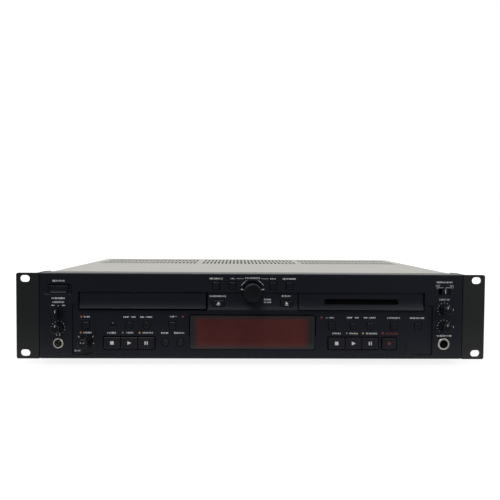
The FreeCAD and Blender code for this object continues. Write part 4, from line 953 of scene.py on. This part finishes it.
def makeLights():
    for name, lamp in studioLamps.items():
        data = bpy.data.lights.new(name, "AREA")
        data.shape = "DISK"
        data.size = lamp["size"]
        data.energy = lamp["watts"]
        made = bpy.data.objects.new(name, data)
        bpy.context.scene.collection.objects.link(made)
        aim = (lampTarget - Vector(lamp["place"])).to_track_quat("-Z", "Y")
        made.matrix_world = Matrix.Translation(lamp["place"]) @ aim.to_matrix().to_4x4()
    bpy.context.scene.view_settings.view_transform = "Standard"


makeStage()
makeWorld()
makeLights()
print("studio ready")

ink = {"white": printedInk("whitePadInk", "#d6d6d8"), "red": printedInk("redPadInk", "#6e2722")}
lampFinish = {
    "orange": lampLens("orangeLens", "#b9693a"),
    "green": lampLens("greenLens", "#5c8a6a"),
    "amber": lampLens("amberLens", "#b8924a"),
    "red": lampLens("redLens", "#98362f"),
    "sensor": capPlastic("sensorLens", "#08080a", "#0c0c0f", 0.08),
}
finishes = {
    "panel": mouldedPanelPlastic(),
    "paint": texturedBlackPaint(),
    "cover": coverPaintAndPaintedReflection(),
    "zinc": zincPlatedSteel(),
    "nickel": nickelPlate(),
    "window": smokedWindow(),
    "rubber": mouldedRubber(),
    "board": solderMask(),
    "cap": capPlastic("buttonPlastic", "#101016", "#16161d", 0.26),
    "key": capPlastic("keyPlastic", "#13131a", "#191920", 0.3),
    "knob": capPlastic("knobPlastic", "#0c0c10", "#121218", 0.24),
    "inner": capPlastic("glassFilledNylon", "#222326", "#2a2b2e", 0.5),
    "acetal": capPlastic("acetal", "#dcdad0", "#e6e4dc", 0.35),
    "screw": capPlastic("blackZincScrew", "#1a1a1b", "#242425", 0.3),
    # the slot flap's black plastic, made blacker and nearly sheenless to paint the shade inside the slot; the
    # socket's insulator and the phones bushing share it
    "flap": capPlastic("slotFlapPlasticAndShade", "#030304", "#060608", 0.6, 0.08),
    # painted shade: near-black with no sheen, for the gaps round the bay doors and the window and for the socket's
    # contact holes
    "seam": capPlastic("paintedSeamShade", "#010102", "#020203", 0.8, 0.0),
}

finishOf = {
    "front_panel": "panel", "cd_tray_door": "panel", "rack_ears": "paint", "rear_panel": "paint",
    "top_cover": "cover", "base_chassis": "zinc", "md_loader_frame": "zinc", "feet": "rubber",
    "display_window": "window", "front_board": "board", "main_board": "board", "power_supply": "board",
    "phones_jack": "nickel", "keyboard_socket": "nickel", "mains_inlet": "inner", "rear_jacks": "inner",
    "case_screws": "screw", "cd_loader_frame": "inner", "cd_tray": "inner", "cd_tray_gear": "acetal",
    "cd_spindle": "inner", "cd_pickup": "inner", "md_pickup": "inner", "md_spindle": "zinc",
    "md_slot_flap": "flap", "pitch_shaft": "zinc", "jog_shaft": "zinc", "indicator_lamps": "cap",
    "jog_dial": "knob", "pitch_knob": "knob", "phones_selector": "knob",
}


def finishFor(node):
    if node in finishOf:
        return finishOf[node]
    for ending in ("key", "knob"):
        if node.endswith("_" + ending):
            return ending
    return "cap"


def finishNodes():
    for node in bodyOf:
        mesh = bpy.data.objects[node].data
        finish = finishes[finishFor(node)]
        if len(mesh.materials):
            for i in range(len(mesh.materials)):
                mesh.materials[i] = finish
        else:
            mesh.materials.append(finish)


finishNodes()
print("CAD nodes finished")
makeLabels()
makeSigns()
makeSwitchWords()
makeKeySigns()
makeEjectSigns()
makePointers()
print("marks printed")
makeSeams()
makeSocketInsert()
makeLamps()
makeScrews()
